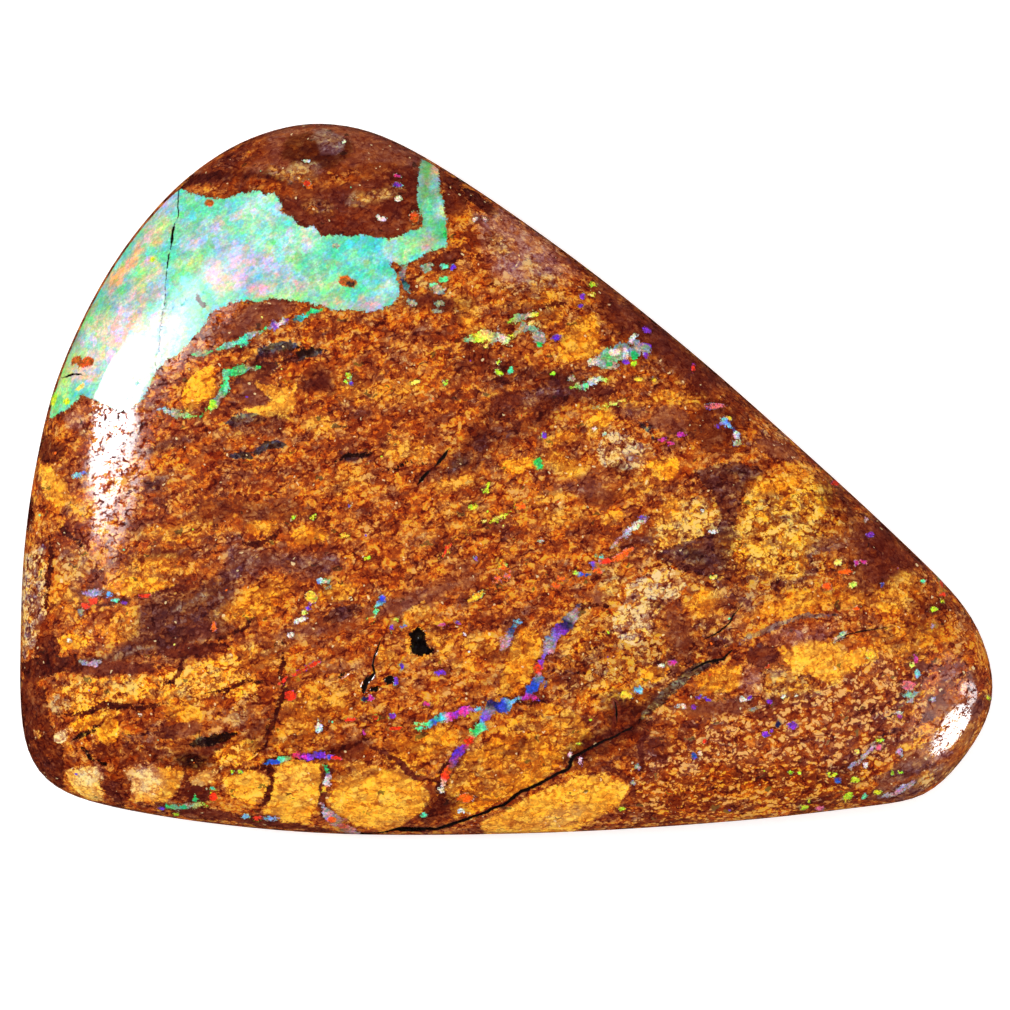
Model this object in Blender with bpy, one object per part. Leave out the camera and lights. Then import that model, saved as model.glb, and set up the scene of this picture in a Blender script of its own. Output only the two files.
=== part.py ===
"""A polished freeform boulder opal, in one piece, in metres.

Brown ironstone with a seam of opal across its pointed upper left, cut as a low cabochon.
+X runs along the stone, +Y towards its upper point and +Z out of the domed face.
The origin lies on the flat ground back, under the middle of the outline's box.
"""

import math

import bmesh
import bpy
from mathutils import Vector

MM = 0.001

# Size of the stone
LENGTH = 38.0 * MM
WIDTH = 27.8 * MM
GIRDLE_HEIGHT = 1.5 * MM
DOME_RISE = 4.1 * MM

# How full the dome and the ground edge below it are: 2 is an ellipse, more is squarer
DOME_FULLNESS = 2.45
EDGE_FULLNESS = 2.8
BACK_TUCK = 0.8 * MM

# Top of the dome, which lies left of and below the middle of the outline's box
DOME_CENTRE = Vector((-2.2, -2.0)) * MM

# Outline seen from above, clockwise from the left edge, in millimetres from the middle
OUTLINE_MM = [
    (-18.98, -6.80),
    (-18.86, -3.10),
    (-18.40, 0.40),
    (-17.49, 4.06),
    (-15.62, 7.96),
    (-13.36, 10.92),
    (-11.17, 12.70),
    (-9.20, 13.58),
    (-7.27, 13.88),
    (-4.93, 13.42),
    (-1.81, 11.70),
    (2.87, 8.42),
    (7.55, 4.66),
    (12.23, 0.51),
    (15.35, -2.38),
    (17.49, -4.52),
    (18.47, -6.01),
    (18.98, -7.84),
    (18.80, -9.20),
    (18.05, -10.57),
    (16.91, -11.90),
    (15.89, -12.48),
    (13.79, -12.80),
    (9.11, -13.32),
    (2.87, -13.74),
    (-3.37, -13.88),
    (-8.05, -13.76),
    (-12.73, -13.26),
    (-16.44, -12.52),
    (-18.00, -11.72),
    (-18.74, -10.50),
    (-18.97, -8.80),
]

# Broad waves that hand polishing left in the face: place, reach and height in millimetres
FACE_WAVES_MM = [
    ((-11.0, 5.0), 4.5, 0.16),
    ((-4.5, 7.5), 4.0, -0.14),
    ((-12.5, -4.0), 4.5, -0.12),
    ((-3.0, -2.0), 5.5, 0.14),
    ((4.5, 1.0), 4.5, -0.12),
    ((9.0, -4.5), 4.5, 0.12),
    ((2.0, -9.5), 4.5, -0.10),
    ((13.5, -9.0), 3.5, 0.10),
    ((-10.0, -10.0), 4.0, 0.12),
]

# Shallow natural hollows that the grinding of the back didn't reach, in the same form
BACK_HOLLOWS_MM = [
    ((-10.5, 6.5), 3.6, 0.34),
    ((9.5, -7.5), 4.2, 0.40),
    ((-13.0, -9.0), 3.0, 0.26),
]

# How far towards the middle of the face the outline's tight corners stay tight
CORNER_FADE = 3.0
CORNER_PASSES = 36

# How finely the faces are divided
OUTLINE_STEPS = 112
DOME_RINGS = 18
EDGE_RINGS = 5
BACK_RINGS = 6
SPAN_STEPS = 12


def clear_scene():
    """Remove whatever the scene already holds."""
    for thing in list(bpy.data.objects):
        bpy.data.objects.remove(thing, do_unlink=True)


def smooth_loop(knots, steps):
    """Points on a smooth closed curve through the knots, with steps points to a span."""
    points = []
    count = len(knots)
    for i in range(count):
        before = knots[i - 1]
        start = knots[i]
        end = knots[(i + 1) % count]
        after = knots[(i + 2) % count]
        for j in range(steps):
            t = j / steps
            points.append(
                0.5
                * (
                    2.0 * start
                    + (end - before) * t
                    + (2.0 * before - 5.0 * start + 4.0 * end - after) * t**2
                    + (3.0 * start - before - 3.0 * end + after) * t**3
                )
            )
    return points


def evenly_spaced(loop, count):
    """The closed loop again, as count points at equal distances along it."""
    closed = loop + [loop[0]]
    run = [0.0]
    for a, b in zip(closed, closed[1:]):
        run.append(run[-1] + (b - a).length)
    points = []
    side = 0
    for i in range(count):
        target = run[-1] * i / count
        while run[side + 1] < target:
            side += 1
        share = (target - run[side]) / (run[side + 1] - run[side])
        points.append(closed[side].lerp(closed[side + 1], share))
    return points


def fit_to_size(loop):
    """The loop moved and scaled so that its box is LENGTH by WIDTH around the origin."""
    low = Vector((min(p.x for p in loop), min(p.y for p in loop)))
    high = Vector((max(p.x for p in loop), max(p.y for p in loop)))
    middle = (low + high) / 2.0
    size = high - low
    return [
        Vector(((p.x - middle.x) * LENGTH / size.x, (p.y - middle.y) * WIDTH / size.y))
        for p in loop
    ]


def girdle_outline():
    """The widest outline of the stone, seen from above."""
    knots = [Vector(point) * MM for point in OUTLINE_MM]
    return fit_to_size(evenly_spaced(smooth_loop(knots, SPAN_STEPS), OUTLINE_STEPS))


def pulled_in(outline, distance):
    """The clockwise outline moved in by a distance, square to its own direction."""
    count = len(outline)
    points = []
    for i, point in enumerate(outline):
        along = (outline[(i + 1) % count] - outline[i - 1]).normalized()
        points.append(point + Vector((along.y, -along.x)) * distance)
    return points


def softened(outline, passes):
    """The outline with its tight corners rounded off, by averaging neighbours."""
    points = outline
    for _ in range(passes):
        points = [
            (points[i - 1] + point + points[(i + 1) % len(points)]) / 3.0
            for i, point in enumerate(points)
        ]
    return points


def relief(point, spots_mm):
    """Sum of the broad bumps or hollows in spots_mm at a point, in metres."""
    total = 0.0
    for place, reach, height in spots_mm:
        gap = (point - Vector(place) * MM).length / (reach * MM)
        total += height * MM * math.exp(-gap * gap)
    return total


def dome_rings(outline):
    """Rings of 3-D points from the girdle up to just short of the dome's middle."""
    rings = []
    soft_outline = softened(outline, CORNER_PASSES)
    for i in range(DOME_RINGS):
        angle = 0.5 * math.pi * i / DOME_RINGS
        reach = math.cos(angle) ** (2.0 / DOME_FULLNESS)
        rise = math.sin(angle) ** (2.0 / DOME_FULLNESS)
        ring = []
        for edge, soft_edge in zip(outline, soft_outline):
            far_edge = soft_edge.lerp(edge, reach**CORNER_FADE)
            spot = DOME_CENTRE + (far_edge - DOME_CENTRE) * reach
            height = GIRDLE_HEIGHT + DOME_RISE * rise + relief(spot, FACE_WAVES_MM) * rise
            ring.append(Vector((spot.x, spot.y, height)))
        rings.append(ring)
    return rings


def edge_rings(outline):
    """Rings from just under the girdle down to the flat back, tucked in as they go."""
    rings = []
    for i in range(1, EDGE_RINGS + 1):
        angle = 0.5 * math.pi * i / EDGE_RINGS
        tuck = BACK_TUCK * (1.0 - max(math.cos(angle), 0.0) ** (2.0 / EDGE_FULLNESS))
        drop = GIRDLE_HEIGHT * math.sin(angle) ** (2.0 / EDGE_FULLNESS)
        rings.append(
            [Vector((p.x, p.y, GIRDLE_HEIGHT - drop)) for p in pulled_in(outline, tuck)]
        )
    return rings


def back_rings(rim):
    """Rings across the ground back, from inside its rim to just short of the middle."""
    rings = []
    for i in range(1, BACK_RINGS):
        reach = 1.0 - i / BACK_RINGS
        ring = []
        for edge in rim:
            spot = DOME_CENTRE + (edge.xy - DOME_CENTRE) * reach
            ring.append(Vector((spot.x, spot.y, hollow_depth(spot))))
        rings.append(ring)
    return rings


def hollow_depth(spot):
    """How far the back lies above the resting plane at a spot: 0 on the ground flat."""
    shallowest = 0.06 * MM
    return max(relief(spot, BACK_HOLLOWS_MM) - shallowest, 0.0)


def skin_over(mesh, rings, first_point, last_point):
    """Join rings of points side by side, and close each end to a single point."""
    loops = [[mesh.verts.new(p) for p in ring] for ring in rings]
    first = mesh.verts.new(first_point)
    last = mesh.verts.new(last_point)
    count = len(loops[0])
    for i in range(count):
        after = (i + 1) % count
        mesh.faces.new((first, loops[0][i], loops[0][after]))
        mesh.faces.new((last, loops[-1][after], loops[-1][i]))
        for a, b in zip(loops, loops[1:]):
            mesh.faces.new((a[i], b[i], b[after], a[after]))
    bmesh.ops.recalc_face_normals(mesh, faces=mesh.faces)


def opal_material():
    """Polished ironstone, as one average brown with the stone's gloss."""
    material = bpy.data.materials.new("polished_ironstone")
    material.use_nodes = True
    shader = material.node_tree.nodes["Principled BSDF"]
    shader.inputs["Base Color"].default_value = (0.33, 0.14, 0.05, 1.0)
    shader.inputs["Roughness"].default_value = 0.18
    shader.inputs["Metallic"].default_value = 0.0
    return material


def build_stone():
    """The whole stone, as one closed body."""
    outline = girdle_outline()
    dome = dome_rings(outline)
    edge = edge_rings(outline)
    back = back_rings(edge[-1])
    top_height = GIRDLE_HEIGHT + DOME_RISE + relief(DOME_CENTRE, FACE_WAVES_MM)
    top = Vector((DOME_CENTRE.x, DOME_CENTRE.y, top_height))
    under = Vector((DOME_CENTRE.x, DOME_CENTRE.y, hollow_depth(DOME_CENTRE)))

    mesh = bmesh.new()
    skin_over(mesh, dome[::-1] + edge + back, top, under)
    data = bpy.data.meshes.new("boulder_opal")
    mesh.to_mesh(data)
    mesh.free()
    data.shade_smooth()
    data.materials.append(opal_material())

    stone = bpy.data.objects.new("boulder_opal", data)
    bpy.context.scene.collection.objects.link(stone)
    return stone


clear_scene()
build_stone()
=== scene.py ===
"""Boulder opal cabochon, dressed: polished ironstone with an opal seam, veins and flecks.

The stone lies on its flat back with its domed face up. Marks on the face are placed in
pixels of a 1010 by 1010 view from straight above, which PhotoPlane turns into metres.
"""

import logging
import math
from dataclasses import dataclass, field
from enum import Enum
from typing import Callable, Sequence, Union

import bpy
import numpy as np
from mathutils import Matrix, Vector

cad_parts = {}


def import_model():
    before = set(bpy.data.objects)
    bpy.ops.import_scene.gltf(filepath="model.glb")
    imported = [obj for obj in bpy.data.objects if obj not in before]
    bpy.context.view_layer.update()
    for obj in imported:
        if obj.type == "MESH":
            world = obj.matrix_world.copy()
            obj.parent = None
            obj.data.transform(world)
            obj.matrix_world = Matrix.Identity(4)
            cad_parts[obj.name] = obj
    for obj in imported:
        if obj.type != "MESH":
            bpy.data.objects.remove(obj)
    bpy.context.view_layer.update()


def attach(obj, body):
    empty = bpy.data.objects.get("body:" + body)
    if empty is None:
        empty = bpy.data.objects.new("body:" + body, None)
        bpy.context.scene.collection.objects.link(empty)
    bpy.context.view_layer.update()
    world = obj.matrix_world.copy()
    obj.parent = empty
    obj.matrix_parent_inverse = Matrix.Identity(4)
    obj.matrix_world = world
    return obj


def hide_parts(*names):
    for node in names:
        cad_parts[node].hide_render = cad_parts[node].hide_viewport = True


MM = 0.001
STONE_NODE = "boulder_opal"
GIRDLE_HEIGHT = 1.5 * MM
LIGHT_GREEN = 0.15
CRISP_SOFTNESS = 0.45
CRISP_EDGE_PX = 8.5

log = logging.getLogger("boulder_opal")

Socket = bpy.types.NodeSocket
Feed = Union[float, Socket]
Colour = tuple[float, float, float]


def linear(code: str) -> Colour:
    """Linear colour of a hex code as a screen shows it.

    Args:
        code: Six hex digits, red first.

    Returns:
        Linear red, green and blue from 0 to 1.
    """
    shown = [int(code[i : i + 2], 16) / 255.0 for i in (0, 2, 4)]
    return tuple(((c + 0.055) / 1.055) ** 2.4 if c > 0.04045 else c / 12.92 for c in shown)


@dataclass(frozen=True)
class PhotoPlane:
    """Where a pixel of the view from above lies on the stone, in metres."""

    metres_per_px: float = 0.038 / 974.0
    middle_px: tuple[float, float] = (506.5, 479.0)
    image_px: float = 1010.0

    def place(self, x: float, y: float) -> Vector:
        """Point on the stone's ground plan under a pixel."""
        return Vector(((x - self.middle_px[0]), (self.middle_px[1] - y), 0.0)) * self.metres_per_px

    def to_px(self, points: np.ndarray) -> np.ndarray:
        """Pixels over an array of points in metres, of which only x and y are read."""
        flat = points[:, :2] / self.metres_per_px
        return np.stack([flat[:, 0] + self.middle_px[0], self.middle_px[1] - flat[:, 1]], axis=1)

    def field_width(self) -> float:
        """Width in metres that the whole image shows."""
        return self.image_px * self.metres_per_px


PLANE = PhotoPlane()


def smooth_step(value: np.ndarray, low: float, high: float) -> np.ndarray:
    """Rise from 0 at low to 1 at high, level at both ends."""
    share = np.clip((value - low) / (high - low), 0.0, 1.0)
    return share * share * (3.0 - 2.0 * share)


def cell_noise(places: np.ndarray, seed: int) -> np.ndarray:
    """Smooth noise from -1 to 1 over a lattice of unit cells.

    Args:
        places: One point a row, with x and y in cells.
        seed: Whole number that picks one noise out of many.

    Returns:
        One value a point.
    """
    cell = np.floor(places).astype(np.int64)
    part = places - cell
    ease = part * part * (3.0 - 2.0 * part)

    def corner(right: int, up: int) -> np.ndarray:
        """Random value at one corner of each point's cell.

        Args:
            right: Cells to the right.
            up: Cells up.

        Returns:
            One value a point.
        """
        mixed = (cell[:, 0] + right) * 374761393 + (cell[:, 1] + up) * 668265263 + seed * 144269504
        mixed = (mixed ^ (mixed >> 13)) * 1274126177
        return ((mixed ^ (mixed >> 16)) & 0xFFFF) / 32767.5 - 1.0

    low = corner(0, 0) * (1.0 - ease[:, 0]) + corner(1, 0) * ease[:, 0]
    high = corner(0, 1) * (1.0 - ease[:, 0]) + corner(1, 1) * ease[:, 0]
    return low * (1.0 - ease[:, 1]) + high * ease[:, 1]


def wander(points_px: np.ndarray, reach_px: float, cell_px: float, seed: int) -> np.ndarray:
    """Points moved about by smooth noise, so that an edge drawn with them is ragged.

    Args:
        points_px: One point a row, in pixels.
        reach_px: Farthest move along x or y.
        cell_px: Width of a cell of the noise.
        seed: Whole number that picks the noise.

    Returns:
        The moved points.
    """
    cells = points_px / cell_px
    shift = np.stack([cell_noise(cells, seed), cell_noise(cells, seed + 1)], axis=1)
    return points_px + shift * reach_px


class Ground(Enum):
    """Colours of the ironstone: a hex code, how grainy it is and how flaky."""

    YELLOW = ("F0A62A", 0.6, 0.0)
    GOLD = ("F4B038", 0.45, 0.0)
    STRAW = ("F2C260", 0.45, 0.0)
    AMBER = ("DC9028", 0.65, 0.0)
    OCHRE = ("D08A32", 0.8, 0.0)
    ORANGE = ("B3642A", 1.0, 0.0)
    EMBER = ("E2701A", 0.6, 0.0)
    RUST = ("8C421C", 0.9, 0.0)
    CLAY = ("8A4A32", 0.45, 0.0)
    ROSE = ("AA7264", 0.6, 0.0)
    BROWN = ("6A2A14", 0.75, 0.0)
    UMBER = ("602A14", 0.55, 0.0)
    OXBLOOD = ("6E2C1A", 0.55, 0.0)
    MAROON = ("561C0E", 0.8, 0.0)
    DUSK = ("662E22", 0.9, 0.0)
    PLUM = ("6C3A30", 0.85, 0.0)
    MAUVE = ("805048", 0.7, 0.0)
    SLATE = ("4C4048", 0.95, 0.0)
    LILAC = ("8C6C66", 0.7, 0.0)
    SHALE = ("6E5848", 0.7, 0.0)
    INK = ("321A12", 1.1, 0.0)
    PIT = ("100806", 0.5, 0.0)
    TAN = ("B68A5C", 0.9, 0.0)
    KHAKI = ("D2A454", 1.0, 0.0)
    MUSTARD = ("D6A444", 1.0, 0.0)
    LINEN = ("CCAE86", 1.15, 0.0)
    CREAM = ("E6D2A4", 0.5, 0.0)
    GRAVEL = ("A86C38", 1.25, 0.0)
    GOLDEN_GRAVEL = ("E6A43C", 1.05, 0.0)
    FLAKES = ("BE7A46", 1.0, 1.0)
    GRAINS = ("C0722C", 1.05, 0.8)

    def colour(self) -> np.ndarray:
        """Linear colour."""
        return np.array(linear(self.value[0]))

    def texture(self) -> np.ndarray:
        """Graininess and flakiness."""
        return np.array(self.value[1:])

    def is_light(self) -> bool:
        """Whether it stands out as lighter than the ground around it."""
        return self.colour()[1] > LIGHT_GREEN


def route_gaps(points: np.ndarray, route: Sequence[tuple[float, float]]) -> tuple[np.ndarray, ...]:
    """How points lie beside a route of straight stretches.

    Args:
        points: One point a row, in pixels.
        route: Corners of the route, in pixels.

    Returns:
        The distance to the route, the same with a sign for the side, and how far along
        the route the nearest spot is, from 0 to 1.
    """
    corners = np.array(route, dtype=float)
    spans = corners[1:] - corners[:-1]
    lengths = np.hypot(spans[:, 0], spans[:, 1])
    starts = np.concatenate([[0.0], np.cumsum(lengths)])
    nearest = np.full(len(points), np.inf)
    signed = np.zeros(len(points))
    along = np.zeros(len(points))
    for i, span in enumerate(spans):
        gap = points - corners[i]
        share = np.clip(gap @ span / lengths[i] ** 2, 0.0, 1.0)
        off = gap - share[:, None] * span
        reach = np.hypot(off[:, 0], off[:, 1])
        side = np.sign(span[0] * gap[:, 1] - span[1] * gap[:, 0])
        closer = reach < nearest
        nearest = np.where(closer, reach, nearest)
        signed = np.where(closer, reach * side, signed)
        along = np.where(closer, (starts[i] + share * lengths[i]) / starts[-1], along)
    return nearest, signed, along


def inside_loop(points: np.ndarray, loop: Sequence[tuple[float, float]]) -> np.ndarray:
    """Whether each point lies inside a closed loop of corners.

    Args:
        points: One point a row, in pixels.
        loop: Corners of the loop, in pixels.

    Returns:
        One true or false a point.
    """
    inside = np.zeros(len(points), dtype=bool)
    for (x0, y0), (x1, y1) in zip(loop, [*loop[1:], loop[0]]):
        if y0 == y1:
            continue
        crosses = (points[:, 1] >= y0) != (points[:, 1] >= y1)
        at = x0 + (points[:, 1] - y0) * (x1 - x0) / (y1 - y0)
        inside ^= crosses & (points[:, 0] < at)
    return inside


def depth_in_loop(points: np.ndarray, loop: Sequence[tuple[float, float]]) -> np.ndarray:
    """How far inside a closed loop each point lies, and below 0 outside it."""
    reach = route_gaps(points, [*loop, loop[0]])[0]
    return np.where(inside_loop(points, loop), reach, -reach)


def turned_gap(points: np.ndarray, x: float, y: float, turn: float) -> tuple[np.ndarray, np.ndarray]:
    """Offsets from a spot, along and across a direction that rises to the right by turn.

    Args:
        points: One point a row, in pixels.
        x: Column of the spot.
        y: Row of the spot.
        turn: Direction in degrees.

    Returns:
        Offsets along the direction and across it.
    """
    angle = math.radians(turn)
    right = points[:, 0] - x
    down = points[:, 1] - y
    along = right * math.cos(angle) - down * math.sin(angle)
    across = right * math.sin(angle) + down * math.cos(angle)
    return along, across


@dataclass(frozen=True)
class Ellipse:
    """An ellipse in pixels: its middle, its half length and half width, its turn in degrees."""

    x: float
    y: float
    long: float
    wide: float
    turn: float

    def reach(self, points_px: np.ndarray) -> np.ndarray:
        """How far out each point lies, as a share of the way to the edge."""
        along, across = turned_gap(points_px, self.x, self.y, self.turn)
        return np.hypot(along / self.long, across / self.wide)

    def share(self, points_px: np.ndarray, softness: float) -> np.ndarray:
        """Fall from 1 inside to 0 outside, over a soft edge."""
        return smooth_step(-self.reach(points_px), -1.0 - softness, -1.0 + softness)


@dataclass(frozen=True)
class Patch(Ellipse):
    """A soft ellipse of one colour of the ironstone."""

    ground: Ground
    softness: float = 0.35
    strength: float = 1.0

    def cover(self, points_px: np.ndarray) -> np.ndarray:
        """Share from 0 to 1 that this patch covers at each point."""
        return self.share(points_px, self.softness) * self.strength

    def depth(self, points_px: np.ndarray) -> np.ndarray:
        """How far inside the patch each point lies, in pixels, and below 0 outside it."""
        return (1.0 - self.reach(points_px)) * min(self.long, self.wide)

    def is_crisp(self) -> bool:
        """Whether the patch has a hard edge."""
        return self.softness < CRISP_SOFTNESS


@dataclass(frozen=True)
class Block:
    """An area of one colour of the ironstone inside a loop of corners, in pixels."""

    ground: Ground
    soft_px: float
    loop: tuple[tuple[float, float], ...]

    def cover(self, points_px: np.ndarray) -> np.ndarray:
        """Share from 0 to 1 that this block covers at each point."""
        return smooth_step(self.depth(points_px), -self.soft_px, self.soft_px)

    def depth(self, points_px: np.ndarray) -> np.ndarray:
        """How far inside the block each point lies, in pixels, and below 0 outside it."""
        return depth_in_loop(points_px, self.loop)

    def is_crisp(self) -> bool:
        """Whether the block has a hard edge."""
        return self.soft_px < CRISP_EDGE_PX


@dataclass(frozen=True)
class Streak:
    """A band of one colour of the ironstone along a route, in pixels."""

    ground: Ground
    half_width: float
    route: tuple[tuple[float, float], ...]

    def cover(self, points_px: np.ndarray) -> np.ndarray:
        """Share from 0 to 1 that this band covers at each point."""
        return smooth_step(self.depth(points_px), -1.4, 1.0)

    def depth(self, points_px: np.ndarray) -> np.ndarray:
        """How far inside the band each point lies, in pixels, and below 0 outside it."""
        gap, _, along = route_gaps(points_px, self.route)
        return self.half_width * np.clip(6.0 * along * (1.0 - along), 0.3, 1.0) - gap

    def is_crisp(self) -> bool:
        """Whether the band has a hard edge."""
        return True


G = Ground

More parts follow.
